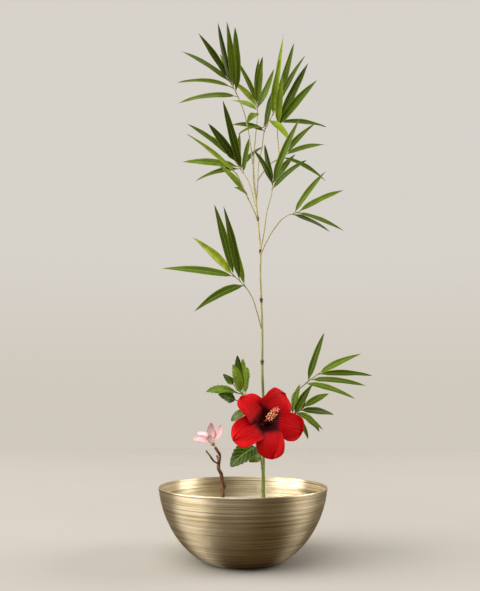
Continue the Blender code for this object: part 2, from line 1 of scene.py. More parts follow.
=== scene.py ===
"""Looks of the ikebana arrangement: bamboo, hibiscus and a pink blossom in a round brass bowl.

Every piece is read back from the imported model's own meshes. There a bamboo blade is a loft of
four-cornered rings, a leaf or petal one of eight-cornered rings and a stalk one of ten-cornered
rings, so each can be remade finely on the same lines. Lengths are metres, +Z is up, -Y is the front.
"""

import math

import bmesh
import bpy
import numpy as np
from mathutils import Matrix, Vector

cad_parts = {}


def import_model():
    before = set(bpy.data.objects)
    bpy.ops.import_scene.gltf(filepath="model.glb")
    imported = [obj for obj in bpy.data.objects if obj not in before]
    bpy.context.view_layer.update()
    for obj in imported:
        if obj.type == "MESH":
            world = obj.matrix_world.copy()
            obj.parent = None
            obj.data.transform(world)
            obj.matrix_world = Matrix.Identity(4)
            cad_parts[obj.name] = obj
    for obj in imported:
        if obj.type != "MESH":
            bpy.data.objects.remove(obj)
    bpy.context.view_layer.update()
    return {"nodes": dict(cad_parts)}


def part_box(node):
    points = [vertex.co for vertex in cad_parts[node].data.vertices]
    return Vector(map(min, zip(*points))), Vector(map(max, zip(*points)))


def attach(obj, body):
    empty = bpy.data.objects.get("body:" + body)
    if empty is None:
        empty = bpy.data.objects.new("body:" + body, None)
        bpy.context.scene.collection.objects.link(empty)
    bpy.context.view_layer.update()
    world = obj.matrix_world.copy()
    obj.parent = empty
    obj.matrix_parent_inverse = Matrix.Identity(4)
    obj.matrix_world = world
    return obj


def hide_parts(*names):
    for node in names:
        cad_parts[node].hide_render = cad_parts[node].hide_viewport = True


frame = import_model()

MM = 0.001
WELD = 0.002 * MM
SKIN = "skin"  # the surface coordinates: across a leaf or round a stalk, and along it
GOLDEN_ANGLE = math.pi * (3 - math.sqrt(5))
rng = np.random.default_rng(24)

BLADE_FOLD_MORE = 2.2  # real blades fold more along their midrib than the thick CAD ones
LEAF_VEINS = 7.0  # side veins on each half of a broad leaf
LEAF_VEIN_SLANT = 0.32  # how much further along the leaf a vein ends than it starts
LEAF_TEETH = 9.0
LEAF_STALKS = {"upper": 0.42, "folded": 0.36, "outer": 0.16}  # the part of a leaf's length that is its stalk
STEM_SCARS = (0.36, 0.5, 0.63, 0.72, 0.8, 0.88, 0.95)  # shares of the hibiscus stem's length
PETAL_OVERLAPS = (0.8, 0.45, 0.45, 0.5, 0.9)  # how much wider each petal is at its foot than in the CAD
PETAL_FLATTER = 18.0  # degrees
PETAL_THICK = 0.2 * MM
ANTHERS = 52
STIGMAS = 5
CALYX_LOBES = 5
BRACTS = 7
RIDGE_DEPTH = 0.13 * MM  # the bowl's turned ridges
FLOOR_RADIUS = 2.4

# How light each blade is, from 0 for old dark ones to 1 for young ones; the lighter tones are painted
# backlight, the light that shines through a blade painted into its colour.
# A shoot's blades are taken clockwise from straight down, as seen from the front.
BLADE_TONES = {
    "top_left": (0.45, 0.4, 0.3, 0.2, 0.5, 0.02, 0.5, 0.3),
    "top_middle": (0.6, 0.85, 0.65, 0.35, 0.25, 0.4, 0.45),
    "upper_right": (0.5, 0.3, 0.75, 0.6, 0.25, 0.4, 0.2, 0.8),
    "right_high": (0.6, 0.25, 0.35, 0.35),
    "right_low": (0.25, 0.45, 0.25),
    "middle_right": (0.15, 0.25, 0.35, 0.3, 0.1),
    "far_right": (0.4, 0.6, 0.2, 0.25),
    "upper_left": (0.3, 0.5, 0.35, 0.15, 0.25, 0.15, 0.45, 0.4, 0.4, 0.4),
    "low_left": (0.6, 0.8, 0.6),
    "middle_left": (0.2, 0.4, 1.0, 0.25, 0.5, 0.3),
    "lower_right": (0.15, 0.4, 0.15, 0.15, 0.3),
    "lower_back": (0.35, 0.35, 0.35, 0.15, 0.35, 0.15, 0.2, 0.15, 0.15),
}

# How light each hibiscus leaf is, in the same way, so its lighter tones are painted backlight too.
LEAF_TONES = {
    "fore": 0.75, "tall": 0.2, "upright": 0.8, "back": 0.4, "upper": 0.35, "outer": 0.5,
    "folded": 0.05, "rear": 0.2, "lower": 0.12, "small": 0.6,
}

# The twigs of the bamboo's side shoots, from the stalk that each grows from to its tip, in millimetres.
TWIGS = {
    "top_left": (
        (22, 5, 545), (18, 1, 572), (16, -3, 607), (10, -8, 656),
        (2, -15, 692), (-9, -22, 718), (-24, -28, 745),
    ),
    "top_middle": (
        (22, 5, 545), (20, 9, 572), (18, 13, 612),
        (21, 18, 659), (25, 22, 709), (24, 24, 737),
    ),
    "upper_right": (
        (22, 5, 545), (24, 5, 572), (26, 8, 611), (32, 11, 642),
        (37, 12, 674), (47, 10, 694), (57, 8, 711),
    ),
    "right_low": ((24, 5, 583), (36, 0, 599), (47, -3, 610), (60, -4, 617), (70, -8, 622)),
    "right_high": ((60, -4, 617), (58, 0, 645), (58, 4, 674), (61, 6, 685)),
    "middle_right": ((28, 5, 465), (33, -2, 489), (39, -8, 529), (45, -12, 550), (48, -15, 574)),
    "far_right": ((28, 4, 458), (37, -2, 477), (49, -12, 496), (66, -22, 513), (87, -32, 518)),
    "upper_left": ((23, 5, 528), (18, 10, 551), (9, 18, 587), (-5, 25, 612), (-16, 32, 633)),
    "low_left": ((24, 4, 517), (12, -4, 542), (5, -8, 555), (-3, -14, 573), (-11, -20, 586)),
    "middle_left": ((29, 5, 339), (22, -2, 365), (11, -12, 393), (0, -20, 406), (-17, -28, 420)),
    "lower_right": (
        (31, 5, 196), (57, 20, 199), (75, 28, 215), (79, 32, 239),
        (92, 30, 250), (112, 24, 266), (121, 20, 272),
    ),
    "lower_back": ((66, 24, 206), (84, 38, 210), (97, 46, 219)),
}


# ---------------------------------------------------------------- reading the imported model


def welded(node):
    """A CAD node's mesh with the corners that its faces share made one."""
    made = bmesh.new()
    made.from_mesh(frame["nodes"][node].data)
    bmesh.ops.remove_doubles(made, verts=made.verts, dist=WELD)
    made.verts.index_update()
    return made


def rings_from(tip, corners, most):
    """The rings of a loft from its tip on, as far as they are whole."""
    seen = {tip}
    level = {tip}
    rings = []
    while len(rings) < most:
        level = {edge.other_vert(corner) for corner in level for edge in corner.link_edges} - seen
        if len(level) != corners:
            break
        seen |= level
        rings.append(in_turn(level))
    return rings


def in_turn(level):
    """A ring's corners as an array, in turn round it."""
    left = set(level)
    corner = min(left, key=lambda one: one.index)
    ordered = []
    while corner:
        ordered.append(corner)
        left.discard(corner)
        beside = [edge.other_vert(corner) for edge in corner.link_edges]
        corner = min((one for one in beside if one in left), key=lambda one: one.index, default=None)
    return np.array([one.co for one in ordered])


def lofts(node, corners, fewest, most):
    """Every loft of such rings in a node, as (tip, rings from the tip on)."""
    source = welded(node)
    found = []
    for corner in source.verts:
        if len(corner.link_edges) == corners:
            rings = rings_from(corner, corners, most)
            if len(rings) >= fewest and all(len(ring) == corners for ring in rings):
                found.append((np.array(corner.co), rings))
    source.free()
    return found


def ribbon(foot, rings, tip):
    """A leaf's middle line, half widths, directions and cup, at stations from 0 at its foot to 1."""
    half_way = len(rings[0]) // 2
    quarter = len(rings[0]) // 4
    line, half, across, rise = [], [], [], []
    for ring in rings:
        spans = [np.linalg.norm(ring[i + half_way] - ring[i]) for i in range(half_way)]
        left = int(np.argmax(spans))
        edges = ring[left], ring[left + half_way]
        middle = 0.5 * (ring[(left + quarter) % len(ring)] + ring[(left + quarter + half_way) % len(ring)])
        line.append(middle)
        half.append(0.5 * max(spans))
        across.append((edges[1] - edges[0]) / max(spans))
        rise.append(0.5 * (edges[0] + edges[1]) - middle)
    widest = int(np.argmax(half))
    for order in (range(widest + 1, len(rings)), range(widest - 1, -1, -1)):
        last = across[widest]
        for i in order:
            last = across[i] = across[i] if across[i] @ last > 0 else -across[i]
    points = np.array([foot, *line, tip])
    ahead = np.gradient(points, axis=0)[1:-1]
    normal = np.cross(across, ahead)
    normal /= np.linalg.norm(normal, axis=1)[:, None]
    if normal[widest] @ rise[widest] < 0:
        normal = -normal
        across = [-one for one in across]
    cup = np.einsum("ij,ij->i", rise, normal)
    steps = np.linalg.norm(np.diff(points, axis=0), axis=1)
    return {
        "stations": np.concatenate(([0], np.cumsum(steps))) / steps.sum(),
        "line": points,
        "half": np.array([half[0], *half, 0]),
        "across": np.array([across[0], *across, across[-1]]),
        "normal": np.array([normal[0], *normal, normal[-1]]),
        "cup": np.array([cup[0], *cup, 0]),
    }


def smooth(stations, values, at):
    """Values read off a smooth curve through the ones at the stations."""
    values = np.asarray(values, float)
    flat = values.reshape(len(values), -1)
    slopes = np.gradient(flat, stations, axis=0)
    low = np.clip(np.searchsorted(stations, at, side="right") - 1, 0, len(stations) - 2)
    span = (stations[low + 1] - stations[low])[:, None]
    t = (at[:, None] - stations[low][:, None]) / span
    read = (
        (1 + 2 * t) * (1 - t) ** 2 * flat[low]
        + t * (1 - t) ** 2 * span * slopes[low]
        + t**2 * (3 - 2 * t) * flat[low + 1]
        + t**2 * (t - 1) * span * slopes[low + 1]
    )
    return read.reshape(len(at), *values.shape[1:])


def unit(vectors):
    """Each vector at length one."""
    return vectors / np.linalg.norm(vectors, axis=-1, keepdims=True)


def chord_stations(points):
    """How far along a line of points each point is."""
    return np.concatenate(([0], np.cumsum(np.linalg.norm(np.diff(points, axis=0), axis=1))))


def profile_of(node):
    """The (radius, height) points of a turned node, along its skin from the lowest one out."""
    source = welded(node)
    plane = {v for v in source.verts if abs(v.co.y) < WELD and v.co.x > WELD}
    corner = min(plane, key=lambda v: (round(v.co.z, 6), v.co.x))
    points = []
    while corner:
        points.append((corner.co.x, corner.co.z))
        plane.discard(corner)
        beside = [edge.other_vert(corner) for edge in corner.link_edges]
        corner = next((one for one in beside if one in plane), None)
    source.free()
    return np.array(points)


# ---------------------------------------------------------------- making meshes


class Shells:
    """Closed skins gathered into one mesh, with their surface coordinates and marks.

    tone is how light a skin is. mark is 1 on the lower side of a leaf and at a ring on a stalk.
    """

    def __init__(self):
        self.points, self.faces, self.skin, self.tone, self.mark, self.finish = [], [], [], [], [], []
        self.count = 0

    def loft(self, first, rings, last, skin, tone, mark, finish=0):
        """A skin from a point through rings of equally many corners to a point.

        skin is (rows, corners, 2), mark is (rows, corners). finish is which of the piece's materials it has.
        """
        rows, sides = len(rings), len(rings[0])
        start = self.count
        grid = start + 1 + np.arange(rows * sides).reshape(rows, sides)
        beside = np.roll(grid, -1, axis=1)
        end = start + 1 + rows * sides
        self.points += [np.reshape(first, (1, 3)), np.reshape(rings, (-1, 3)), np.reshape(last, (1, 3))]
        self.faces += [(start, b, a) for a, b in zip(grid[0], beside[0])]
        quads = np.stack((grid[:-1], beside[:-1], beside[1:], grid[1:]), axis=-1).reshape(-1, 4)
        self.faces += [tuple(quad) for quad in quads]
        self.faces += [(end, a, b) for a, b in zip(grid[-1], beside[-1])]
        self.finish += [finish] * (2 * sides + len(quads))
        ends = [[0.5, skin[0, 0, 1]]], [[0.5, skin[-1, 0, 1]]]
        self.skin += [np.array(ends[0]), skin.reshape(-1, 2), np.array(ends[1])]
        self.mark += [[mark[0, 0]], mark.reshape(-1), [mark[-1, 0]]]
        self.tone += [np.full(rows * sides + 2, tone)]
        self.count = end + 1

    def loft_round(self, first, rings, last, turns, line, tone=0.5, mark=None, finish=0):
        """A skin of rings that go once round a line. mark is one value per ring."""
        grid = rings.shape[:2]
        around = np.broadcast_to(np.abs(2 * turns / math.tau - 1), grid)
        along = np.broadcast_to(chord_stations(line)[:, None], grid)
        marks = np.zeros(grid) if mark is None else np.broadcast_to(mark[:, None], grid)
        self.loft(first, rings, last, np.stack((around, along), -1), tone, marks, finish)

    def turned(self, profile, segments):
        """A skin turned about Z. The profile runs from near the axis below to near it above."""
        turns = np.arange(segments) * math.tau / segments
        radii, heights = profile[:, :1], np.repeat(profile[:, 1:], segments, axis=1)
        rings = np.stack((radii * np.cos(turns), radii * np.sin(turns), heights), axis=-1)
        self.loft_round((0, 0, profile[0, 1]), rings, (0, 0, profile[-1, 1]), turns, profile)

    def sweep(self, line, radii, sides, tone=0.5, mark=None, blunt=0.3, finish=0):
        """A round skin along a line. radii is one per row, or one per row and side."""
        line = np.asarray(line, float)
        radii = np.broadcast_to(np.reshape(radii, (len(line), -1)), (len(line), sides))
        ahead = unit(np.gradient(line, axis=0))
        side = np.array((1.0, 0.0, 0.0)) if abs(ahead[0, 0]) < 0.9 else np.array((0.0, 1.0, 0.0))
        turns = np.arange(sides) * math.tau / sides
        rings = []
        for centre, forward, around in zip(line, ahead, radii):
            side = unit(side - forward * (side @ forward))
            up = np.cross(forward, side)
            spokes = np.cos(turns)[:, None] * side + np.sin(turns)[:, None] * up
            rings.append(centre + around[:, None] * spokes)
        first = line[0] - ahead[0] * radii[0].mean() * blunt
        last = line[-1] + ahead[-1] * radii[-1].mean() * blunt
        self.loft_round(first, np.array(rings), last, turns, line, tone, mark, finish)

    def sheet(self, leaf, rows, columns, power, cup_power, thick, edge, relief, tone=0.5):
        """A thin leaf or petal along a ribbon.

        edge(across, along) scales the half width and relief(across, along) lifts the sheet, both
        for across from -1 to 1 and along from 0 to 1. thick(across, along) is half its thickness.
        power rounds the outline off at its ends and cup_power the cup.
        """
        along = 0.5 - 0.5 * np.cos(np.pi * (np.arange(rows) + 0.35) / (rows - 0.3))
        line = smooth(leaf["stations"], leaf["line"], along)
        half = np.maximum(smooth(leaf["stations"], leaf["half"] ** power, along), 0) ** (1 / power)
        cup = smooth(leaf["stations"], leaf["cup"], along)
        normal = unit(smooth(leaf["stations"], leaf["normal"], along))
        forward = unit(np.gradient(line, axis=0))
        side = unit(np.cross(forward, normal))
        normal = np.cross(side, forward)
        u = np.linspace(-1, 1, columns)[None, :]
        v = along[:, None]
        out = u * half[:, None] * edge(u, v)
        lift = cup[:, None] * np.abs(u) ** cup_power + relief(u, v)
        middle = line[:, None] + out[..., None] * side[:, None] + lift[..., None] * normal[:, None]
        body = (thick(u, v) + 0 * lift)[:, 1:-1, None] * normal[:, None]
        upper = middle.copy()
        upper[:, 1:-1] += body
        lower = (middle[:, 1:-1] - body)[:, ::-1]
        rings = np.concatenate((upper, lower), axis=1)
        u_all = np.concatenate((u[0], u[0, -2:0:-1]))
        skin = np.stack(np.broadcast_arrays(0.5 + 0.5 * u_all[None, :], v), axis=-1)
        mark = np.zeros(rings.shape[:2])
        mark[:, columns:] = 1
        self.loft(leaf["line"][0], rings, leaf["line"][-1], skin, tone, mark)

    def piece(self, name, materials, replaced, sharp=50):
        """The gathered skins as one piece. sharp is the angle in degrees from which an edge is not smooth."""
        mesh = bpy.data.meshes.new(name)
        points = np.concatenate(self.points)
        mesh.from_pydata(points, [], self.faces)
        made = bmesh.new()
        made.from_mesh(mesh)
        bmesh.ops.recalc_face_normals(made, faces=made.faces)
        made.to_mesh(mesh)
        made.free()
        for surface in materials:
            mesh.materials.append(surface)
        mesh.polygons.foreach_set("material_index", self.finish)
        corners = np.zeros(len(mesh.loops), int)
        mesh.loops.foreach_get("vertex_index", corners)
        layer = mesh.uv_layers.new(name=SKIN)
        layer.data.foreach_set("uv", np.concatenate(self.skin)[corners].astype(np.float32).ravel())
        for attribute, values in (("tone", self.tone), ("mark", self.mark)):
            made_attribute = mesh.attributes.new(attribute, "FLOAT", "POINT")
            made_attribute.data.foreach_set("value", np.concatenate(values).astype(np.float32))
        mesh.shade_smooth()
        mesh.set_sharp_from_angle(angle=math.radians(sharp))
        return placed(name, mesh, replaced)


def placed(name, mesh, replaced):
    """A finished mesh as a piece that stands for its CAD nodes."""
    made = bpy.data.objects.new(name, mesh)
    bpy.context.scene.collection.objects.link(made)
    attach(made, "root")
    if replaced:
        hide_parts(*replaced)
    return made


# ---------------------------------------------------------------- shader building blocks


def add(tree, kind, values=None, **settings):
    """A node with its settings, and its sockets set or linked by name."""
    made = tree.nodes.new(kind)
    for name, value in settings.items():
        setattr(made, name, value)
    for name, value in (values or {}).items():
        if isinstance(value, bpy.types.NodeSocket):
            tree.links.new(value, made.inputs[name])
        else:
            made.inputs[name].default_value = value
    return made


def maths(tree, operation, a, b=0.0, clamp=False):
    """One sum on two values or sockets."""
    return add(tree, "ShaderNodeMath", {0: a, 1: b}, operation=operation, use_clamp=clamp).outputs[0]


def blend(tree, share, a, b, kind="MIX"):
    """A colour between a and b."""
    made = add(tree, "ShaderNodeMix", data_type="RGBA", blend_type=kind, clamp_factor=True)
    for socket, value in ((made.inputs[0], share), (made.inputs[6], a), (made.inputs[7], b)):
        if isinstance(value, bpy.types.NodeSocket):
            tree.links.new(value, socket)
        else:
            socket.default_value = (*value, 1.0) if isinstance(value, tuple) else value
    return made.outputs[2]


def spread(tree, value, low, high, to_low=0.0, to_high=1.0):
    """A value eased from one range to another."""
    made = add(
        tree, "ShaderNodeMapRange",
        {"Value": value, "From Min": low, "From Max": high, "To Min": to_low, "To Max": to_high},
        interpolation_type="SMOOTHSTEP",
    )
    return made.outputs[0]


def tint(tree, colour, mask, strength, toward):
    """A colour drawn towards another one where a mask is set."""
    return blend(tree, maths(tree, "MULTIPLY", mask, strength), colour, toward)


def ramp(tree, value, stops):
    """A colour read off a row of (place, colour)."""
    made = add(tree, "ShaderNodeValToRGB", {"Fac": value})
    elements = made.color_ramp.elements
    while len(elements) < len(stops):
        elements.new(0.5)
    for element, (place, colour) in zip(elements, stops):
        element.position = place
        element.color = (*colour, 1.0)
    return made.outputs["Color"]


def group(name, inputs, outputs):
    """A shader node group and its two end nodes. Inputs are name: (kind, default)."""
    tree = bpy.data.node_groups.new(name, "ShaderNodeTree")
    for label, (kind, default) in inputs.items():
        socket = tree.interface.new_socket(label, in_out="INPUT", socket_type="NodeSocket" + kind)
        socket.default_value = default
    for label, kind in outputs.items():
        tree.interface.new_socket(label, in_out="OUTPUT", socket_type="NodeSocket" + kind)
    return tree, tree.nodes.new("NodeGroupInput").outputs, tree.nodes.new("NodeGroupOutput").inputs


def use(tree, shared, values):
    """A shared group's outputs, with its inputs set or linked by name."""
    return add(tree, "ShaderNodeGroup", values, node_tree=shared).outputs


def make_mottle():
    """Soft patches and small specks, as on anything grown or handled."""
    tree, given, out = group(
        "mottle",
        {"Position": ("Vector", (0, 0, 0)), "Scale": ("Float", 60.0)},
        {"Patches": "Float", "Specks": "Float"},
    )
    place, scale = given["Position"], given["Scale"]
    finer = maths(tree, "MULTIPLY", scale, 9.0)
    coarse = add(tree, "ShaderNodeTexNoise", {"Vector": place, "Scale": scale, "Detail": 3.0})
    fine = add(tree, "ShaderNodeTexNoise", {"Vector": place, "Scale": finer, "Detail": 2.0})
    tree.links.new(spread(tree, coarse.outputs[0], 0.35, 0.65), out["Patches"])
    tree.links.new(spread(tree, fine.outputs[0], 0.55, 0.7), out["Specks"])
    return tree


def make_streaks():
    """Noise drawn out along one way: fibres, brush lines and pleats."""
    tree, given, out = group(
        "streaks", {"Position": ("Vector", (0, 0, 0)), "Stretch": ("Vector", (1, 1, 1))}, {"Mask": "Float"}
    )
    place, stretch = given["Position"], given["Stretch"]
    drawn = add(tree, "ShaderNodeVectorMath", {0: place, 1: stretch}, operation="MULTIPLY")
    noise = add(tree, "ShaderNodeTexNoise", {"Vector": drawn.outputs[0], "Scale": 1.0, "Detail": 4.0})
    tree.links.new(spread(tree, noise.outputs[0], 0.3, 0.7), out["Mask"])
    return tree


def make_veins():
    """Evenly set thin lines over a value: veins side by side."""
    tree, given, out = group(
        "veins",
        {"Value": ("Float", 0.0), "Lines": ("Float", 8.0), "Width": ("Float", 0.3)},
        {"Line": "Float"},
    )
    place = maths(tree, "FRACT", maths(tree, "MULTIPLY", given["Value"], given["Lines"]))
    away = maths(tree, "MULTIPLY", maths(tree, "ABSOLUTE", maths(tree, "SUBTRACT", place, 0.5)), 2.0)
    tree.links.new(spread(tree, away, given["Width"], 0.0), out["Line"])
    return tree


def make_margin():
    """How near a point of a leaf or petal is to its midrib and to its margin."""
    tree, given, out = group(
        "midrib_and_margin",
        {"Skin": ("Vector", (0, 0, 0)), "Midrib": ("Float", 0.08), "Margin": ("Float", 0.2)},
        {"Off": "Float", "Along": "Float", "Midrib": "Float", "Margin": "Float"},
    )
    parts = add(tree, "ShaderNodeSeparateXYZ", {0: given["Skin"]})
    centred = maths(tree, "SUBTRACT", maths(tree, "MULTIPLY", parts.outputs[0], 2.0), 1.0)
    off = maths(tree, "ABSOLUTE", centred)
    inside = maths(tree, "SUBTRACT", 1.0, given["Margin"])
    tree.links.new(off, out["Off"])
    tree.links.new(parts.outputs[1], out["Along"])
    tree.links.new(spread(tree, off, given["Midrib"], 0.0), out["Midrib"])
    tree.links.new(spread(tree, off, inside, 1.0), out["Margin"])
    return tree


MOTTLE = make_mottle()
STREAKS = make_streaks()
VEINS = make_veins()
MARGIN = make_margin()


def surface(name, **uniform):
    """A new material: its tree, its shader, where a point is, and its surface coordinates."""
    made = bpy.data.materials.new(name)
    made.use_nodes = True
    tree = made.node_tree
    shader = tree.nodes["Principled BSDF"]
    for label, value in uniform.items():
        shader.inputs[label.replace("_", " ")].default_value = value
    position = add(tree, "ShaderNodeTexCoord").outputs["Object"]
    skin = add(tree, "ShaderNodeUVMap", uv_map=SKIN).outputs[0]
    return made, tree, shader, position, skin


def read(tree, attribute):
    """A value that the mesh carries."""
    return add(tree, "ShaderNodeAttribute", attribute_name=attribute).outputs["Fac"]


def wire(tree, shader, colour, roughness, height=None, depth=0.1 * MM, strength=0.5):
    """Links a material's colour, its roughness and the relief that bumps its surface."""
    tree.links.new(colour, shader.inputs["Base Color"])
    if isinstance(roughness, bpy.types.NodeSocket):
        tree.links.new(roughness, shader.inputs["Roughness"])
    if height is not None:
        bump = add(tree, "ShaderNodeBump", {"Height": height, "Distance": depth, "Strength": strength})
        tree.links.new(bump.outputs[0], shader.inputs["Normal"])


def brass():
    """Brass drawn round by the turning tool, so its highlights run up and down the wall."""
    made, tree, shader, position, skin = surface(
        "turned_brass", Metallic=1.0, Anisotropic=0.9, Anisotropic_Rotation=0.25
    )
    around = add(tree, "ShaderNodeTangent", direction_type="RADIAL", axis="Z").outputs[0]
    tree.links.new(around, shader.inputs["Tangent"])
    parts = add(tree, "ShaderNodeSeparateXYZ", {0: position})
    along = add(tree, "ShaderNodeSeparateXYZ", {0: skin}).outputs[1]
    x, y = parts.outputs[0], parts.outputs[1]
    turned = add(tree, "ShaderNodeCombineXYZ", {0: x, 1: y, 2: along}).outputs[0]
    bands = use(tree, STREAKS, {"Position": turned, "Stretch": (1.5, 1.5, 170.0)})["Mask"]
    lines = use(tree, STREAKS, {"Position": turned, "Stretch": (7.0, 7.0, 620.0)})["Mask"]
    worn = use(tree, MOTTLE, {"Position": position, "Scale": 24.0})
    colour = blend(tree, bands, (0.66, 0.54, 0.33), (0.87, 0.78, 0.57))
    # painted shade: the turned grooves are drawn dark brown, for the light that falls less into them
    shaded_grooves = spread(tree, lines, 0.5, 0.0)
    colour = tint(tree, colour, shaded_grooves, 0.8, (0.32, 0.22, 0.1))
    colour = tint(tree, colour, worn["Patches"], 0.1, (0.55, 0.42, 0.23))
    rough = spread(tree, maths(tree, "ADD", shaded_grooves, worn["Patches"]), 0.0, 2.0, 0.42, 0.55)
    height = maths(tree, "ADD", maths(tree, "MULTIPLY", bands, 0.5), lines)
    wire(tree, shader, colour, rough, height, 0.25 * MM, 0.45)
    return made


def lead():
    made, tree, shader, position, _ = surface("cast_lead", Metallic=0.9)
    worn = use(tree, MOTTLE, {"Position": position, "Scale": 120.0})
    colour = blend(tree, worn["Patches"], (0.2, 0.2, 0.19), (0.33, 0.32, 0.3))
    colour = tint(tree, colour, worn["Specks"], 0.5, (0.5, 0.48, 0.44))
    wire(tree, shader, colour, spread(tree, worn["Patches"], 0.0, 1.0, 0.45, 0.65), worn["Specks"], 0.2 * MM)
    return made


def pin_brass():
    made, tree, shader, position, _ = surface("pin_brass", Metallic=1.0)
    drawn = use(tree, STREAKS, {"Position": position, "Stretch": (3000.0, 3000.0, 120.0)})["Mask"]
    colour = blend(tree, drawn, (0.42, 0.28, 0.1), (0.72, 0.54, 0.25))
    wire(tree, shader, colour, spread(tree, drawn, 0.0, 1.0, 0.3, 0.45), drawn, 0.05 * MM)
    return made


def still_water():
    made, tree, shader, position, _ = surface(
        "still_water", Metallic=0.0, Transmission_Weight=1.0, IOR=1.333, Roughness=0.0
    )
    worn = use(tree, MOTTLE, {"Position": position, "Scale": 9.0})
    colour = blend(tree, worn["Patches"], (0.93, 0.96, 0.93), (0.98, 0.99, 0.97))
    slow = add(tree, "ShaderNodeTexNoise", {"Vector": position, "Scale": 18.0, "Detail": 1.0})
    wire(tree, shader, colour, None, slow.outputs[0], 0.4 * MM, 0.12)
    return made


def cane():
    made, tree, shader, position, _ = surface("bamboo_cane", Specular_IOR_Level=0.45)
    fibres = use(tree, STREAKS, {"Position": position, "Stretch": (1600.0, 1600.0, 45.0)})["Mask"]
    worn = use(tree, MOTTLE, {"Position": position, "Scale": 45.0})
    height = add(tree, "ShaderNodeSeparateXYZ", {0: position}).outputs[2]
    straw = blend(tree, worn["Patches"], (0.42, 0.36, 0.13), (0.55, 0.48, 0.22))
    green = blend(tree, worn["Patches"], (0.13, 0.19, 0.045), (0.24, 0.28, 0.08))
    colour = blend(tree, spread(tree, height, 0.25, 0.42), green, straw)
    colour = tint(tree, colour, fibres, 0.35, (0.3, 0.25, 0.1))
    colour = tint(tree, colour, worn["Specks"], 0.4, (0.16, 0.1, 0.05))
    ring = read(tree, "mark")
    colour = blend(tree, ring, colour, (0.075, 0.045, 0.028))
    rough = spread(tree, maths(tree, "ADD", fibres, ring), 0.0, 2.0, 0.36, 0.7)
    wire(tree, shader, colour, rough, maths(tree, "ADD", fibres, worn["Specks"]), 0.12 * MM)
    return made


def blade_green():
    """A blade from dark to young by its tone, its lighter tones painted backlight; paler below and at its
    midrib, with a painted highlight along its margin, dry at its tip.
    """
    made, tree, shader, position, skin = surface("bamboo_blade", Specular_IOR_Level=0.1)
    place = use(tree, MARGIN, {"Skin": skin, "Midrib": 0.12, "Margin": 0.24})
    under = read(tree, "mark")
    worn = use(tree, MOTTLE, {"Position": position, "Scale": 70.0})
    streaks = use(tree, STREAKS, {"Position": skin, "Stretch": (30.0, 2.5, 1.0)})["Mask"]
    veins = use(tree, VEINS, {"Value": place["Off"], "Lines": 4.0, "Width": 0.5})["Line"]
    streaked = maths(tree, "MULTIPLY", maths(tree, "SUBTRACT", streaks, 0.5), 0.25)
    # painted backlight: besides how young a blade is, its tone lightens the whole blade as if light shone
    # through it
    age_and_backlight = maths(tree, "ADD", read(tree, "tone"), streaked)
    colour = ramp(
        tree, age_and_backlight,
        (
            (0.0, (0.02, 0.04, 0.001)), (0.35, (0.06, 0.1, 0.003)),
            (0.7, (0.18, 0.27, 0.007)), (1.0, (0.42, 0.52, 0.02)),
        ),
    )
    colour = tint(tree, colour, worn["Patches"], 0.35, (0.04, 0.07, 0.002))
    colour = tint(tree, colour, veins, 0.18, (0.2, 0.27, 0.02))
    colour = tint(tree, colour, under, 0.4, (0.18, 0.26, 0.03))
    colour = tint(tree, colour, place["Midrib"], 0.5, (0.3, 0.36, 0.04))
    # painted highlight: the margin is drawn paler and yellower so the blade's edges look lit
    colour = tint(tree, colour, place["Margin"], 0.6, (0.36, 0.44, 0.03))
    tip, foot = spread(tree, place["Along"], 0.95, 1.0), spread(tree, place["Along"], 0.07, 0.02)
    dry = maths(tree, "ADD", tip, foot, clamp=True)
    colour = tint(tree, colour, dry, 0.75, (0.35, 0.29, 0.11))
    rough = spread(tree, maths(tree, "ADD", under, worn["Patches"]), 0.0, 2.0, 0.33, 0.6)
    height = maths(tree, "ADD", veins, maths(tree, "MULTIPLY", streaks, 0.5))
    wire(tree, shader, colour, rough, height, 0.12 * MM)
    return made


def broad_green():
    """A broad leaf from dark to young by its tone, whose lighter end is painted backlight, with pale slanting
    side veins.
    """
    made, tree, shader, position, skin = surface("hibiscus_leaf", Specular_IOR_Level=0.2, Coat_Weight=0.05)
    place = use(tree, MARGIN, {"Skin": skin, "Midrib": 0.07, "Margin": 0.12})
    under = read(tree, "mark")
    worn = use(tree, MOTTLE, {"Position": position, "Scale": 90.0})
    slant = maths(tree, "SUBTRACT", place["Along"], maths(tree, "MULTIPLY", place["Off"], LEAF_VEIN_SLANT))
    veined = maths(tree, "ADD", slant, 0.5 / LEAF_VEINS)
    veins = use(tree, VEINS, {"Value": veined, "Lines": LEAF_VEINS, "Width": 0.22})["Line"]
    patchy = maths(tree, "MULTIPLY", maths(tree, "SUBTRACT", worn["Patches"], 0.5), 0.2)
    # painted backlight: the tone lightens whole leaves as if light shone through them, as well as setting how
    # young they are
    age_and_backlight = maths(tree, "ADD", read(tree, "tone"), patchy)
    greens = (0.0, (0.016, 0.04, 0.001)), (0.5, (0.075, 0.14, 0.003)), (1.0, (0.27, 0.38, 0.015))
    colour = ramp(tree, age_and_backlight, greens)
    colour = tint(tree, colour, veins, 0.6, (0.27, 0.36, 0.05))
    colour = tint(tree, colour, under, 0.5, (0.12, 0.21, 0.04))
    colour = tint(tree, colour, place["Midrib"], 0.8, (0.32, 0.42, 0.08))
    colour = tint(tree, colour, place["Margin"], 0.45, (0.26, 0.32, 0.04))
    colour = tint(tree, colour, worn["Specks"], 0.2, (0.1, 0.15, 0.03))
    rough = spread(tree, maths(tree, "ADD", under, worn["Patches"]), 0.0, 2.0, 0.28, 0.6)
    wire(tree, shader, colour, rough, maths(tree, "ADD", worn["Patches"], veins), 0.15 * MM)
    return made


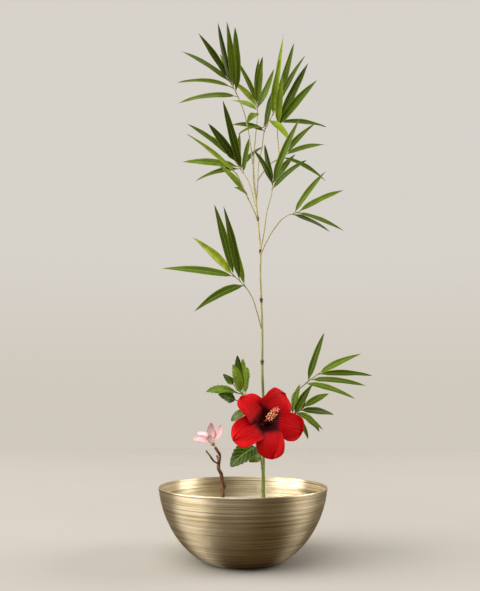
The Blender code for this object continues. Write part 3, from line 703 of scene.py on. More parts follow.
def stem_green():
    made, tree, shader, position, _ = surface("hibiscus_stem", Specular_IOR_Level=0.45)
    fibres = use(tree, STREAKS, {"Position": position, "Stretch": (900.0, 900.0, 60.0)})["Mask"]
    worn = use(tree, MOTTLE, {"Position": position, "Scale": 70.0})
    colour = blend(tree, fibres, (0.16, 0.25, 0.035), (0.34, 0.42, 0.08))
    colour = tint(tree, colour, worn["Patches"], 0.3, (0.28, 0.26, 0.07))
    colour = tint(tree, colour, worn["Specks"], 0.5, (0.45, 0.42, 0.2))
    colour = tint(tree, colour, read(tree, "mark"), 0.8, (0.16, 0.13, 0.05))
    rough = spread(tree, worn["Patches"], 0.0, 1.0, 0.4, 0.6)
    wire(tree, shader, colour, rough, maths(tree, "ADD", fibres, worn["Specks"]), 0.15 * MM)
    return made


def petal_red():
    """Deep red with finer veins, almost black in the throat."""
    made, tree, shader, position, skin = surface("hibiscus_petal", Specular_IOR_Level=0.06)
    place = use(tree, MARGIN, {"Skin": skin, "Midrib": 0.1, "Margin": 0.12})
    worn = use(tree, MOTTLE, {"Position": position, "Scale": 55.0})
    streaks = use(tree, STREAKS, {"Position": skin, "Stretch": (26.0, 1.6, 1.0)})["Mask"]
    veins = use(tree, VEINS, {"Value": place["Off"], "Lines": 4.5, "Width": 0.2})["Line"]
    colour = ramp(
        tree, place["Along"],
        (
            (0.28, (0.008, 0.0003, 0.002)), (0.37, (0.05, 0.001, 0.004)), (0.46, (0.44, 0.0015, 0.004)),
            (0.85, (0.58, 0.002, 0.004)), (1.0, (0.62, 0.006, 0.007)),
        ),
    )
    colour = blend(tree, maths(tree, "MULTIPLY", streaks, 0.4), colour, (0.45, 0.003, 0.01), "MULTIPLY")
    colour = tint(tree, colour, veins, 0.3, (0.3, 0.0, 0.01))
    colour = tint(tree, colour, worn["Patches"], 0.1, (0.85, 0.04, 0.04))
    rough = spread(tree, worn["Patches"], 0.0, 1.0, 0.42, 0.58)
    height = maths(tree, "SUBTRACT", streaks, veins)
    wire(tree, shader, colour, rough, height, 0.25 * MM, 0.6)
    return made


def column_red():
    made, tree, shader, position, skin = surface("staminal_column", Specular_IOR_Level=0.4)
    worn = use(tree, MOTTLE, {"Position": position, "Scale": 200.0})
    along = add(tree, "ShaderNodeSeparateXYZ", {0: skin}).outputs[1]
    colour = blend(tree, spread(tree, along, 0.012, 0.04), (0.14, 0.003, 0.01), (0.62, 0.03, 0.03))
    colour = tint(tree, colour, worn["Patches"], 0.4, (0.72, 0.12, 0.09))
    wire(tree, shader, colour, spread(tree, worn["Patches"], 0.0, 1.0, 0.35, 0.55), worn["Specks"], 0.05 * MM)
    return made


def pollen():
    made, tree, shader, position, _ = surface("pollen", Specular_IOR_Level=0.2)
    grains = add(tree, "ShaderNodeTexVoronoi", {"Vector": position, "Scale": 3500.0})
    worn = use(tree, MOTTLE, {"Position": position, "Scale": 300.0})
    colour = blend(tree, worn["Patches"], (0.78, 0.28, 0.1), (0.9, 0.55, 0.26))
    colour = blend(tree, spread(tree, grains.outputs["Distance"], 0.0, 0.5), (0.95, 0.66, 0.3), colour)
    rough = spread(tree, grains.outputs["Distance"], 0.0, 0.6, 0.9, 0.65)
    wire(tree, shader, colour, rough, grains.outputs["Distance"], 0.15 * MM)
    return made


def stigma_red():
    made, tree, shader, position, _ = surface("stigma", Specular_IOR_Level=0.3, Sheen_Weight=0.6)
    worn = use(tree, MOTTLE, {"Position": position, "Scale": 400.0})
    colour = blend(tree, worn["Patches"], (0.55, 0.02, 0.05), (0.85, 0.13, 0.14))
    wire(tree, shader, colour, spread(tree, worn["Patches"], 0.0, 1.0, 0.6, 0.8), worn["Specks"], 0.15 * MM)
    return made


def bark():
    made, tree, shader, position, _ = surface("twig_bark", Specular_IOR_Level=0.3)
    fibres = use(tree, STREAKS, {"Position": position, "Stretch": (700.0, 700.0, 110.0)})["Mask"]
    worn = use(tree, MOTTLE, {"Position": position, "Scale": 110.0})
    height = add(tree, "ShaderNodeSeparateXYZ", {0: position}).outputs[2]
    browns = (0.0, (0.05, 0.017, 0.01)), (0.5, (0.15, 0.052, 0.027)), (1.0, (0.3, 0.14, 0.075))
    colour = ramp(tree, fibres, browns)
    greener = maths(tree, "MULTIPLY", worn["Patches"], spread(tree, height, 0.115, 0.16))
    colour = tint(tree, colour, greener, 0.7, (0.3, 0.24, 0.1))
    colour = tint(tree, colour, worn["Specks"], 0.7, (0.45, 0.31, 0.2))
    rough = spread(tree, fibres, 0.0, 1.0, 0.75, 0.5)
    wire(tree, shader, colour, rough, maths(tree, "ADD", fibres, worn["Specks"]), 0.5 * MM, 0.7)
    return made


def peach():
    made, tree, shader, position, skin = surface("blossom_tube", Specular_IOR_Level=0.35, Sheen_Weight=0.15)
    along = add(tree, "ShaderNodeSeparateXYZ", {0: skin}).outputs[1]
    streaks = use(tree, STREAKS, {"Position": position, "Stretch": (1100.0, 1100.0, 120.0)})["Mask"]
    worn = use(tree, MOTTLE, {"Position": position, "Scale": 160.0})
    colour = ramp(
        tree, spread(tree, along, 0.0, 0.01),
        ((0.0, (0.33, 0.2, 0.07)), (0.45, (0.66, 0.27, 0.14)), (1.0, (0.8, 0.45, 0.36))),
    )
    colour = tint(tree, colour, streaks, 0.4, (0.62, 0.2, 0.15))
    wire(tree, shader, colour, spread(tree, worn["Patches"], 0.0, 1.0, 0.4, 0.6), streaks, 0.1 * MM)
    return made


def petal_pink():
    made, tree, shader, position, skin = surface(
        "blossom_petal", Specular_IOR_Level=0.35, Sheen_Weight=0.3, Sheen_Roughness=0.4
    )
    place = use(tree, MARGIN, {"Skin": skin, "Midrib": 0.14, "Margin": 0.35})
    worn = use(tree, MOTTLE, {"Position": position, "Scale": 120.0})
    streaks = use(tree, STREAKS, {"Position": skin, "Stretch": (18.0, 1.2, 1.0)})["Mask"]
    veins = use(tree, VEINS, {"Value": place["Off"], "Lines": 5.0, "Width": 0.3})["Line"]
    colour = ramp(
        tree, place["Along"],
        (
            (0.0, (0.78, 0.36, 0.24)), (0.2, (0.85, 0.52, 0.48)),
            (0.6, (0.88, 0.66, 0.67)), (1.0, (0.84, 0.4, 0.46)),
        ),
    )
    colour = tint(tree, colour, streaks, 0.3, (0.75, 0.36, 0.42))
    colour = tint(tree, colour, veins, 0.2, (0.7, 0.3, 0.38))
    colour = tint(tree, colour, place["Margin"], 0.6, (0.68, 0.2, 0.29))
    colour = tint(tree, colour, read(tree, "mark"), 0.35, (0.74, 0.38, 0.42))
    rough = spread(tree, worn["Patches"], 0.0, 1.0, 0.45, 0.65)
    wire(tree, shader, colour, rough, maths(tree, "SUBTRACT", streaks, veins), 0.15 * MM)
    return made


# ---------------------------------------------------------------- pieces


def full(across, along):
    """The same everywhere on a leaf."""
    return 1.0 + 0 * across * along


def flat(across, along):
    """No relief anywhere on a leaf."""
    return 0 * across * along


def bamboo_blades(name):
    """The blades of a shoot as ribbons. A blade's loft has at most seven rings."""
    found = []
    for tip, rings in lofts("shoot_" + name, 4, 4, 7):
        rings = rings[::-1]
        start = rings[0].mean(0)
        foot = start - 0.8 * (rings[1].mean(0) - start)
        found.append(ribbon(foot, rings, tip))
    return found


def heading(leaf):
    """Which way a blade points as seen from the front, clockwise from straight down."""
    x, _, z = leaf["line"][-1] - leaf["line"][0]
    return math.atan2(x, z)


def bamboo_blade(shells, leaf, tone):
    """A blade on its short stalk, a little twisted and waved in its own way."""
    leaf["cup"] = leaf["cup"] * BLADE_FOLD_MORE
    wave, turn, sway = rng.uniform(0, math.tau, 3)
    twist = rng.uniform(-0.12, 0.12)

    def relief(u, v):
        open_part = np.clip((v - 0.07) / 0.1, 0, 1)
        groove = -0.12 * MM * np.exp(-((u / 0.12) ** 2)) * open_part
        ripple = 0.35 * MM * u**2 * np.sin(11 * v + wave + 1.5 * u)
        lean = twist * 4 * MM * u * np.sin(2.5 * v + turn)
        return (ripple + lean) * open_part + groove

    def thick(u, v):
        rib = 0.28 * MM * np.exp(-((u / 0.14) ** 2)) * (1 - v)
        stalk = 0.45 * MM * np.clip(1 - (v - 0.05) / 0.05, 0, 1) * (1 - u**2) ** 0.5
        return np.maximum(0.13 * MM + rib, stalk)

    def edge(u, v):
        return 1 + 0.03 * np.sin(17 * v + sway) * (v > 0.1)

    shells.sheet(leaf, 30, 9, 1.0, 1.3, thick, edge, relief, tone)


def bamboo_twig(shells, route, blades):
    """A twig that swells and darkens where each blade leaves it."""
    stations = chord_stations(route)
    at = np.arange(0, stations[-1], 1.6 * MM)
    line = smooth(stations, route, at)
    radii = np.interp(at, (0, stations[-1]), (1.15 * MM, 0.75 * MM))
    rings = np.zeros(len(at))
    for leaf in blades:
        near = np.linalg.norm(line - leaf["line"][0], axis=1)
        place = at[int(np.argmin(near))]
        rings = np.maximum(rings, np.exp(-(((at - place) / (1.2 * MM)) ** 2)))
    shells.sweep(line, radii + 0.28 * MM * rings, 10, mark=0.75 * rings, blunt=1.2, finish=1)


def bamboo_shoot(name, leaf_green, twig_green):
    """A twig with its blades in one piece."""
    shells = Shells()
    blades = sorted(bamboo_blades(name), key=heading)
    for leaf, tone in zip(blades, BLADE_TONES[name], strict=True):
        bamboo_blade(shells, leaf, tone)
    bamboo_twig(shells, np.array(TWIGS[name], float) * MM, blades)
    return shells.piece("bamboo_shoot_" + name, (leaf_green, twig_green), ["shoot_" + name])


def mean_radius(ring):
    return np.linalg.norm(ring - ring.mean(0), axis=1).mean()


def stalk_line(node, corners, most):
    """A stalk's middle line and radii, from its foot to its tip."""
    tip, rings = max(lofts(node, corners, 5, most), key=lambda found: found[0][2])
    rings = rings[::-1]
    line = np.array([ring.mean(0) for ring in rings])
    radii = np.array([mean_radius(ring) for ring in rings])
    return np.array([*line, tip]), np.array([*radii, radii[-1]])


def bamboo_culm(material):
    """The cane. At each node a ledge stands over a narrow groove and a lower swelling, all dark."""
    line, radii = stalk_line("bamboo_culm", 10, 40)
    stations = chord_stations(line)
    peaks = [i for i in range(1, len(radii) - 1) if radii[i] > radii[i - 1] + 0.5 * MM]
    plain = np.delete(radii, peaks)
    at = np.arange(0, stations[-1], 1.0 * MM)
    fine = smooth(stations, line, at)
    thick = np.interp(at, np.delete(stations, peaks), plain)
    mark = np.zeros(len(at))
    for peak in peaks:
        off = (at - stations[peak]) / MM
        ledge = 1.1 * np.exp(-((off / 1.5) ** 2))
        groove = 0.2 * np.exp(-(((off + 2.0) / 0.5) ** 2))
        swelling = 0.6 * np.exp(-(((off + 3.4) / 0.9) ** 2))
        thick = thick + (ledge - groove + swelling) * MM
        mark = np.maximum(mark, np.exp(-(((off + 1.2) / 4.2) ** 4)))
    wander = 0.25 * MM * np.sin(at / (23 * MM))[:, None] * np.array((1, 0.6, 0))
    shells = Shells()
    shells.sweep(fine + wander, thick, 20, mark=mark)
    return shells.piece("bamboo_culm_cane", (material,), ["bamboo_culm"])


def hibiscus_stem(material):
    """The stem with its ringed scars and the joints to its leaves."""
    line, radii = stalk_line("hibiscus_stem", 10, 40)
    stations = chord_stations(line)
    at = np.arange(0, stations[-1], 1.0 * MM)
    fine = smooth(stations, line, at)
    thick = np.interp(at, stations, radii)
    mark = np.zeros(len(at))
    for place in STEM_SCARS:
        off = (at - place * stations[-1]) / MM
        thick = thick + 0.45 * MM * np.exp(-((off / 2.2) ** 2))
        mark = np.maximum(mark, np.exp(-((off / 0.9) ** 2)))
    shells = Shells()
    shells.sweep(fine, thick, 18, mark=mark)
    for name in LEAF_TONES:
        join_to_stem(shells, fine, read_sheet("hibiscus_leaf_" + name, 7)["line"])
    return shells.piece("hibiscus_stem_bark", (material,), ["hibiscus_stem"])


def join_to_stem(shells, stem, leaf):
    """The short joint from the stem to a leaf's foot, curving from along the stem to along the leaf."""
    away = np.linalg.norm(stem - leaf[0], axis=1)
    near = int(np.argmin(away))
    start = stem[max(near - int(0.6 * away[near] / MM) - 1, 0)]
    route = np.array([start, 0.5 * (stem[near] + leaf[0]), leaf[0], leaf[1]])
    stations = chord_stations(route)
    at = np.linspace(0, stations[-1], 14)
    shells.sweep(smooth(stations, route, at), np.linspace(1.0, 0.75, 14) * MM, 10)


def read_sheet(node, most):
    """A leaf's or petal's ribbon. Its foot is the end whose first ring is narrower."""
    (tip_a, rings_a), (tip_b, rings_b) = lofts(node, 8, 5, most)[:2]
    a, b = ribbon(tip_a, rings_a, tip_b), ribbon(tip_b, rings_b, tip_a)
    return a if a["half"][1] < b["half"][1] else b


def hibiscus_leaf(name, material):
    """A broad toothed leaf with sunken side veins and cushions between them."""
    leaf = read_sheet("hibiscus_leaf_" + name, 7)
    phase = rng.uniform(0, math.tau)
    stalk_end = LEAF_STALKS.get(name, 0)

    def edge(u, v):
        saw = (v * LEAF_TEETH) % 1.0
        teeth = 1 + 0.19 * (saw - 0.55) * np.clip((v - 0.16) / 0.1, 0, 1)
        opening = np.clip((v - stalk_end) / 0.2, 0, 1) if stalk_end else 1 + 0 * v
        return teeth * (0.09 + 0.91 * opening**0.6)

    def relief(u, v):
        lines = (v - LEAF_VEIN_SLANT * np.abs(u)) * LEAF_VEINS
        off = np.abs(lines - np.round(lines)) * 2
        cushion = 0.45 * MM * (off**0.7 - 0.5) * (1 - u**4) * np.clip((v - 0.08) / 0.1, 0, 1)
        rib = -0.35 * MM * np.exp(-((u / 0.07) ** 2))
        wave = 0.8 * MM * u**2 * np.sin(8 * v + phase)
        return cushion + rib + wave

    def thick(u, v):
        rib = 0.3 * MM * np.exp(-((u / 0.09) ** 2)) * (1 - v)
        stalk = 0.7 * MM * np.clip(1 - (v - 0.05 - stalk_end) / 0.05, 0, 1) * (1 - u**2) ** 0.5
        return np.maximum(0.17 * MM + rib, stalk)

    shells = Shells()
    shells.sheet(leaf, 72, 19, 1.4, 2.0, thick, edge, relief, LEAF_TONES[name])
    return shells.piece(
        "hibiscus_leaf_blade_" + name, (material,), ["hibiscus_leaf_" + name], sharp=60
    )


def flatter(petal, degrees):
    """Turns a petal back about its middle line, more towards its end."""
    turn = math.radians(degrees) * np.clip(petal["stations"] / 0.6, 0, 1)[:, None]
    forward = unit(np.gradient(petal["line"], axis=0))
    side = unit(np.cross(forward, petal["normal"]))
    petal["normal"] = petal["normal"] * np.cos(turn) - side * np.sin(turn)


def hibiscus_petal(number, material):
    """A ruffled petal with pleats that run out from its foot."""
    node = f"hibiscus_petal_{number}"
    petal = read_sheet(node, 9)
    phase = rng.uniform(0, math.tau, 4)
    overlap = PETAL_OVERLAPS[number - 1]
    flatter(petal, PETAL_FLATTER)

    def edge(u, v):
        broad = overlap * np.exp(-(((v - 0.37) / 0.16) ** 2)) + 0.1 * np.exp(-(((v - 0.88) / 0.1) ** 2))
        return 1 + broad + 0.02 * np.sin(15 * v + phase[0] + 2 * np.sign(u)) * v

    def relief(u, v):
        pleats = 0.16 * MM * np.cos(9 * math.pi * u) * (1 - v**3) * np.clip(v / 0.2, 0, 1)
        rim = np.maximum(u**2 * np.clip((v - 0.3) / 0.3, 0, 1), np.clip((v - 0.72) / 0.28, 0, 1) ** 1.5)
        turn = np.arctan2(u, 1.25 - v)
        ruffle = 1.1 * MM * rim * (np.sin(7 * turn + phase[1]) + 0.5 * np.sin(15 * turn + phase[2]))
        swell = 0.5 * MM * np.sin(5 * u + phase[3]) * v
        return pleats + ruffle + swell

    def thick(u, v):
        return (PETAL_THICK + 0.3 * MM * np.clip(1 - v / 0.25, 0, 1)) * np.ones_like(u * v)

    shells = Shells()
    shells.sheet(petal, 60, 33, 2.0, 2.0, thick, edge, relief)
    shells.piece(node + "_ruffled", (material,), [node], sharp=60)
    return petal


def flower_axes(petals):
    """Where the petals spring from, the flower's axis, and two ways square to it."""
    feet = np.array([petal["line"][0] for petal in petals])
    centre = feet.mean(0)
    axis = np.linalg.svd(feet - centre)[2][2]
    axis = axis if axis[1] < 0 else -axis
    right = unit(np.cross((0, 0, 1), axis))
    return centre, axis, right, np.cross(axis, right)


def spoke(right, up, turn):
    """The way out from the flower's axis at a turn round it."""
    return right * math.cos(turn) + up * math.sin(turn)


def along_route(route, count):
    """Evenly spaced points on a smooth curve through a few."""
    stations = chord_stations(route)
    return smooth(stations, route, np.linspace(0, stations[-1], count))


def column(petals, tube_red, orange, stigma):
    """The staminal column: a tube set with filaments that carry anthers, and five stigmas."""
    centre, axis, right, up = flower_axes(petals)
    source = welded("staminal_column")
    points = np.array([v.co for v in source.verts])
    source.free()
    depth = (points - centre) @ axis
    cuts = np.linspace(depth.min(), depth.max(), 7)
    line = [points[(depth >= a) & (depth <= b)].mean(0) for a, b in zip(cuts, cuts[1:])]
    line = np.array([centre + axis * cuts[0], *line])
    stations = chord_stations(line)
    at = np.linspace(0, stations[-1], 60)
    fine = smooth(stations, line, at)
    radii = np.interp(at / stations[-1], (0, 0.1, 0.3, 0.8, 1), np.array((5.0, 2.6, 1.7, 1.3, 0.9)) * MM)
    shells = Shells()
    shells.sweep(fine, radii, 16)
    anthers = Shells()
    for i in range(ANTHERS):
        share = 0.45 + 0.5 * (i / (ANTHERS - 1)) ** 0.9
        place = smooth(stations, line, np.array([share * stations[-1]]))[0]
        out = spoke(right, up, i * GOLDEN_ANGLE + rng.uniform(-0.3, 0.3))
        reach = rng.uniform(3.2, 5.2) * MM
        tip = place + out * reach + axis * rng.uniform(0.8, 2.4) * MM
        bend = place + out * reach * 0.5 + axis * 0.2 * MM
        shells.sweep(along_route(np.array([place, bend, tip]), 6), np.full(6, 0.17 * MM), 6)
        lay = unit(np.cross(out, axis) + 0.4 * rng.normal(size=3))
        ends = np.linspace(-1, 1, 7)[:, None]
        bean = tip + 0.75 * MM * ends * lay + 0.25 * MM * (1 - ends**2) * out
        anthers.sweep(bean, 0.7 * MM * np.sqrt(1 - (0.88 * ends) ** 2), 8)
    shells.piece("staminal_tube", (tube_red,), ["staminal_column"])
    anthers.piece("anthers", (orange,), [])
    pads = Shells()
    end = fine[-1] - axis * 2 * MM
    radii = np.full(14, 0.3 * MM)
    radii[-5:] = np.array((0.5, 0.95, 1.15, 1.0, 0.6)) * MM
    for i in range(STIGMAS):
        out = spoke(right, up, i * math.tau / STIGMAS)
        bend, pad = end + (3.5 * axis + 1.2 * out) * MM, end + (6.5 * axis + 4 * out) * MM
        pads.sweep(along_route(np.array([end, bend, pad]), 14), radii, 12, blunt=0.5)
    pads.piece("stigmas", (stigma,), [])


def calyx(petals, green):
    """The green cup behind the petals, its five pointed lobes, the small bracts and the flower's stalk."""
    centre, axis, right, up = flower_axes(petals)
    (tip_a, rings_a), (tip_b, rings_b) = lofts("hibiscus_calyx", 10, 3, 9)[:2]
    if tip_a @ axis > tip_b @ axis:
        tip_a, rings_a, tip_b = tip_b, rings_b, tip_a
    line = np.array([tip_a, *[ring.mean(0) for ring in rings_a], tip_b])
    radii = np.array([1.2 * MM, *[mean_radius(ring) for ring in rings_a], 4.8 * MM])
    stations = chord_stations(line)
    at = np.linspace(0, stations[-1] - 0.3 * MM, 50)
    turns = np.arange(30) * math.tau / 30
    ribs = 1 + 0.06 * np.cos(10 * turns)[None, :] * np.clip(at / stations[-1] - 0.5, 0, 1)[:, None]
    shells = Shells()
    fine = smooth(stations, line, at)
    shells.sweep(fine, np.interp(at, stations, radii)[:, None] * ribs, 30)
    for i in range(CALYX_LOBES):
        out = spoke(right, up, (i + 0.5) * math.tau / CALYX_LOBES)
        lobe = pointed(line[-2], out, axis, 4.6, 3.2, ((0, 0), (1.6, 5), (3.6, 10), (7, 14)))
        shells.sheet(lobe, 24, 9, 1.0, 2.0, lambda u, v: 0.25 * MM * full(u, v), full, flat)
    for i in range(BRACTS):
        out = spoke(right, up, i * math.tau / BRACTS)
        bract = pointed(line[-3], out, axis, 2.8, 0.8, ((0, 0), (2.2, 3), (5, 5.5), (8, 7)))
        shells.sheet(bract, 16, 7, 1.0, 2.0, lambda u, v: 0.2 * MM * full(u, v), full, flat)
    return shells.piece("hibiscus_calyx_cup", (green,), ["hibiscus_calyx"])


def pointed(base, out, axis, start, half, route):
    """A small pointed lobe's ribbon, in millimetres.

    It starts so far out from the base. Its route is (distance out, height along the axis) from there.
    """
    line = np.array([base + out * (start + away) * MM + axis * height * MM for away, height in route])
    stations = chord_stations(line)
    at = np.linspace(0, stations[-1], 7)
    line = smooth(stations, line, at)
    side = np.cross(out, axis)
    widths = half * MM * np.array((0.75, 1.0, 0.95, 0.8, 0.55, 0.28, 0))
    return {
        "stations": at / at[-1], "line": line, "half": widths,
        "across": np.tile(side, (7, 1)), "normal": np.tile(unit(out), (7, 1)), "cup": -0.15 * widths,
    }


def pink_twig(material):
    """The knobbly woody twig: the CAD's own shape made fine, then roughened like bark."""
    source = frame["nodes"]["pink_twig"]
    made = bpy.data.objects.new("blossom_twig", source.data.copy())
    bpy.context.scene.collection.objects.link(made)
    remesh = made.modifiers.new("fine", "REMESH")
    remesh.mode = "VOXEL"
    remesh.voxel_size = 0.45 * MM
    soften = made.modifiers.new("soften", "SMOOTH")
    soften.iterations = 6
    for number, (size, depth) in enumerate(((9 * MM, 1.0 * MM), (3 * MM, 0.5 * MM))):
        grain = bpy.data.textures.new(f"bark_{number}", "CLOUDS")
        grain.noise_scale = size
        push = made.modifiers.new(f"bark_{number}", "DISPLACE")
        push.texture = grain
        push.strength = depth
        push.mid_level = 0.35
    mesh = bpy.data.meshes.new_from_object(made.evaluated_get(bpy.context.evaluated_depsgraph_get()))
    bpy.data.objects.remove(made)
    mesh.name = "blossom_twig"
    mesh.materials.clear()
    mesh.materials.append(material)
    mesh.shade_smooth()
    return placed("blossom_twig", mesh, ["pink_twig"])


def pink_blossom(tube_peach, pink):
    """The blossom's fluted tube and its soft petals."""
    ends = lofts("pink_calyx", 8, 3, 9)[:2]
    tip_a, rings = min(ends, key=lambda found: found[0][2])
    tip_b = max(ends, key=lambda found: found[0][2])[0]
    line = np.array([tip_a, *[ring.mean(0) for ring in rings], tip_b])
    radii = np.array([1.3 * MM, *[mean_radius(ring) for ring in rings], 2.2 * MM])
    stations = chord_stations(line)
    at = np.linspace(0, stations[-1], 36)
    turns = np.arange(30) * math.tau / 30
    flutes = 1 + 0.09 * np.cos(5 * turns)[None, :] * np.sin(np.pi * at / stations[-1])[:, None]
    shells = Shells()
    shells.sweep(smooth(stations, line, at), np.interp(at, stations, radii)[:, None] * flutes, 30)
    shells.piece("blossom_tube", (tube_peach,), ["pink_calyx"])
    for name in ("upper", "right", "left", "back", "front"):
        petal = read_sheet("pink_petal_" + name, 7)
        phase = rng.uniform(0, math.tau, 3)

        def edge(u, v, phase=phase):
            return 1 + 0.06 * np.sin(13 * v + phase[0] + np.sign(u))

        def relief(u, v, phase=phase):
            ruffle = 0.7 * MM * u**2 * np.sin(9 * v + phase[1] + u)
            pleats = 0.1 * MM * np.cos(10 * math.pi * u) * (1 - v)
            return (ruffle + pleats) * np.clip(v / 0.2, 0, 1)

        def thick(u, v):
            return (0.18 + 0.4 * np.clip(1 - v / 0.15, 0, 1)) * MM * np.ones_like(u * v)

        shells = Shells()
        shells.sheet(petal, 40, 19, 1.5, 2.0, thick, edge, relief)
        shells.piece("blossom_petal_" + name, (pink,), ["pink_petal_" + name], sharp=60)


def bowl(material):
    """The turned bowl: its CAD profile with fine uneven ridges left by the tool."""
    points = profile_of("bowl")
    rim = int(np.argmax(points[:, 1]))
    runs = []
    for run in (points[:rim], points[rim + 1 :]):
        stations = chord_stations(run)
        at = np.linspace(0, stations[-1], int(stations[-1] / (0.8 * MM)))
        fine = smooth(stations, run, at)
        slope = unit(np.gradient(fine, axis=0))
        normal = np.stack((slope[:, 1], -slope[:, 0]), axis=1)
        rough = rng.normal(size=len(at) + 4)
        ridge = np.convolve(rough, (0.15, 0.35, 0.35, 0.15), "valid")[: len(at)]
        slow = np.convolve(rng.normal(size=len(at) + 10), np.full(11, 1 / 11), "valid")[: len(at)]
        ridge = ridge - 0.5 * slow
        fade = np.clip(np.minimum(at, stations[-1] - at) / (6 * MM), 0, 1)
        runs.append(fine + normal * (RIDGE_DEPTH * ridge * fade)[:, None])
    turn = np.linspace(0, math.pi, 9)[1:-1]
    outer, inner = runs[0][-1], runs[1][0]
    middle, reach = 0.5 * (outer + inner), 0.5 * (outer - inner)
    lip = [middle + reach * math.cos(a) + np.array((0, 0.9 * MM)) * math.sin(a) for a in turn]
    hollow = np.array(((8, 1.2), (40, 1.2), (47, 0.9), (50.5, 0.15), (52.5, 0.0))) * MM  # under the foot
    profile = np.concatenate((hollow, runs[0], lip, runs[1], [(0.5 * runs[1][-1][0], runs[1][-1][1])]))
    shells = Shells()
    shells.turned(profile, 160)
    return shells.piece("brass_bowl", (material,), ["bowl"])


def water(material):
    """Still water that wets the wall and climbs a little at its edge."""
    points = profile_of("bowl")
    rim = int(np.argmax(points[:, 1]))
    inner = points[rim + 1 :][::-1]
    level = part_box("water")[1].z
    edge = 0.6 * MM  # the water's skin lies inside the metal, so no air shows between them
    heights = np.linspace(inner[0, 1] + 0.5 * MM, level, 40)
    radii = np.interp(heights, inner[:, 1], inner[:, 0])
    wall = np.stack((radii + edge, heights), axis=1)
    floor = np.array(((10 * MM, inner[0, 1] - edge), (radii[0] - 3 * MM, inner[0, 1] - edge)))
    shore = radii[-1] + edge
    steps = (0.0, 0.6, 1.2, 1.8, 2.6, 3.6, 5, 7, 10)
    climb = [(shore - away * MM, level + 0.9 * MM * math.exp(-away / 1.6)) for away in steps]
    open_water = [(radius, level) for radius in np.linspace(shore - 16 * MM, 4 * MM, 14)]
    shells = Shells()
    shells.turned(np.concatenate((floor, wall[:-1], climb, open_water)), 128)
    return shells.piece("bowl_water", (material,), ["water"], sharp=70)


def kenzan(disc_surface, pin_surface):
    """The heavy disc and its tapered pins, each where the CAD has one."""
    low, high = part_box("kenzan")
    source = welded("kenzan")
    places = [v.co.xy.copy() for v in source.verts if v.co.z > high.z - 0.5 * MM]
    top = max(v.co.z for v in source.verts if v.co.z < low.z + 0.6 * (high.z - low.z))
    source.free()
    radius = high.x
    bevel, groove = 0.8 * MM, 0.4 * MM
    profile = np.array((
        (radius * 0.5, low.z), (radius - 2 * bevel, low.z),
        (radius - 0.3 * bevel, low.z + 0.3 * bevel), (radius, low.z + bevel),
        (radius, top - 3 * bevel), (radius - groove, top - 2.6 * bevel),
        (radius - groove, top - 2 * bevel), (radius, top - 1.6 * bevel),
        (radius, top - bevel), (radius - 0.3 * bevel, top - 0.3 * bevel),
        (radius - bevel, top), (radius - 3 * bevel, top),
        (radius - 3.4 * bevel, top - 0.5 * bevel), (radius * 0.4, top - 0.5 * bevel),
    ))
    shells = Shells()
    shells.turned(profile, 96)
    heights = np.array((-1, 0, 0.25, 1, 4, 8, 11)) * MM + top
    widths = np.array((0.8, 1.1, 0.8, 0.75, 0.62, 0.45, 0.18)) * MM
    for place in places:
        line = np.array([(place.x, place.y, height) for height in heights])
        shells.sweep(line, widths, 10, blunt=1.5, finish=1)
    return shells.piece("kenzan_disc_and_pins", (disc_surface, pin_surface), ["kenzan"])


# ---------------------------------------------------------------- camera, light and floor


def aimed(scene_object, place, target):
    """Stands a lamp at a place with its light towards a target."""
    scene_object.location = place
    away = Vector(place) - Vector(target)
    scene_object.rotation_euler = away.to_track_quat("Z", "Y").to_euler()


def add_window(name, place, target, size, power, colour):
    """A large soft light from one side, in metres and watts."""
    lamp = bpy.data.lights.new(name, "AREA")
    lamp.shape = "RECTANGLE"
    lamp.size, lamp.size_y = size
    lamp.energy = power
    lamp.color = colour
    made = bpy.data.objects.new(name, lamp)
    bpy.context.scene.collection.objects.link(made)
    aimed(made, place, target)


def add_daylight(place, softness, power):
    """An even light from a wide part of the sky. Its softness is in degrees."""
    lamp = bpy.data.lights.new("daylight", "SUN")
    lamp.angle = math.radians(softness)
    lamp.energy = power
    made = bpy.data.objects.new("daylight", lamp)
    bpy.context.scene.collection.objects.link(made)
    aimed(made, place, (0, 0, 0))


def floor():
    """A plain pale disc. Only in reflections is it a dark warm brown: a painted reflection of a table top,
    which darkens the brass bowl's lower half.
    """
    mesh = bpy.data.meshes.new("floor")
    around = np.linspace(0, math.tau, 96, endpoint=False)
    rim = [(FLOOR_RADIUS * math.cos(a), FLOOR_RADIUS * math.sin(a), 0) for a in around]
    mesh.from_pydata(rim, [], [range(96)])
    made, tree, shader, position, _ = surface("pale_floor", Specular_IOR_Level=0.0)
    soft = add(tree, "ShaderNodeTexNoise", {"Vector": position, "Scale": 3.0, "Detail": 3.0})
    colour = blend(tree, soft.outputs[0], (0.385, 0.362, 0.33), (0.41, 0.387, 0.353))
    # painted reflection: glossy rays see the floor as dark warm brown, so the brass shows a dark table top
    mirrored = add(tree, "ShaderNodeLightPath").outputs["Is Glossy Ray"]
    colour = blend(tree, mirrored, colour, (0.06, 0.038, 0.016))
    wire(tree, shader, colour, spread(tree, soft.outputs[0], 0.0, 1.0, 0.6, 0.75))
    mesh.materials.append(made)
    plane = bpy.data.objects.new("floor", mesh)
    bpy.context.scene.collection.objects.link(plane)


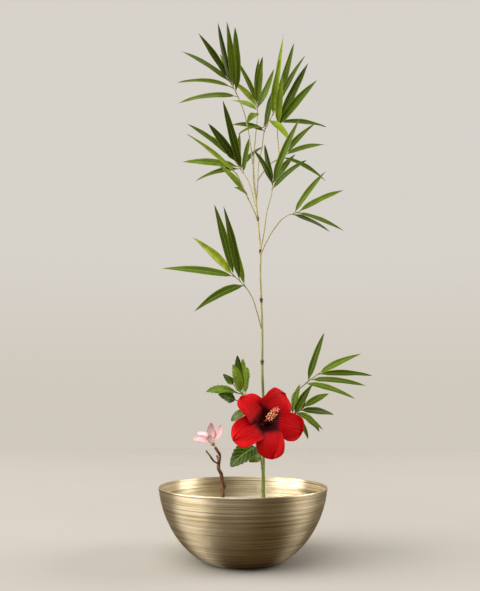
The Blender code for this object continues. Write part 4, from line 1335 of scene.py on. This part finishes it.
def world():
    """A pale surround, brighter behind the bowl than in front of it for what the brass reflects."""
    made = bpy.data.worlds.new("studio")
    made.use_nodes = True
    tree = made.node_tree
    toward = add(tree, "ShaderNodeTexCoord").outputs["Generated"]
    depth = add(tree, "ShaderNodeSeparateXYZ", {0: toward}).outputs[1]
    height = add(tree, "ShaderNodeSeparateXYZ", {0: toward}).outputs[2]
    wall = blend(tree, spread(tree, height, 0.0, 0.25), (0.635, 0.585, 0.51), (0.68, 0.645, 0.595))
    room = blend(tree, spread(tree, depth, -0.9, 0.6), (0.2, 0.17, 0.13), (0.66, 0.63, 0.58))
    seen = add(tree, "ShaderNodeLightPath").outputs["Is Camera Ray"]
    tree.links.new(blend(tree, seen, room, wall), tree.nodes["Background"].inputs["Color"])
    bpy.context.scene.world = made


def camera():
    """A camera in front at about the flower's height, tipped up to take in the tall branch."""
    lens = bpy.data.cameras.new("camera")
    lens.sensor_width = 36.0
    lens.lens = 38.02
    made = bpy.data.objects.new("camera", lens)
    bpy.context.scene.collection.objects.link(made)
    made.location = (-0.0045, -0.9644, 0.2224)
    made.rotation_euler = (math.radians(99.95), 0, 0)
    bpy.context.scene.camera = made


def build():
    """Every piece, then what it stands on and the light."""
    leaf_green = blade_green()
    cane_straw = cane()
    for name in TWIGS:
        bamboo_shoot(name, leaf_green, cane_straw)
    bamboo_culm(cane_straw)

    green = stem_green()
    hibiscus_stem(green)
    glossy = broad_green()
    for name in LEAF_TONES:
        hibiscus_leaf(name, glossy)
    red = petal_red()
    petals = [hibiscus_petal(number, red) for number in range(1, 6)]
    calyx(petals, green)
    column(petals, column_red(), pollen(), stigma_red())

    pink_twig(bark())
    pink_blossom(peach(), petal_pink())

    bowl(brass())
    water(still_water())
    kenzan(lead(), pin_brass())

    floor()
    world()
    add_window("left_window", (-4.25, -1.0, 1.9), (0, 0, 0.15), (4.2, 3.2), 270, (1.0, 0.98, 0.95))
    add_window("right_window", (4.4, 0.25, 2.4), (0, 0, 0.3), (2.75, 2.5), 150, (1.0, 0.97, 0.93))
    add_daylight((-0.5, -0.7, 1.6), 60, 2.3)
    bpy.context.scene.view_settings.view_transform = "Standard"
    camera()


build()
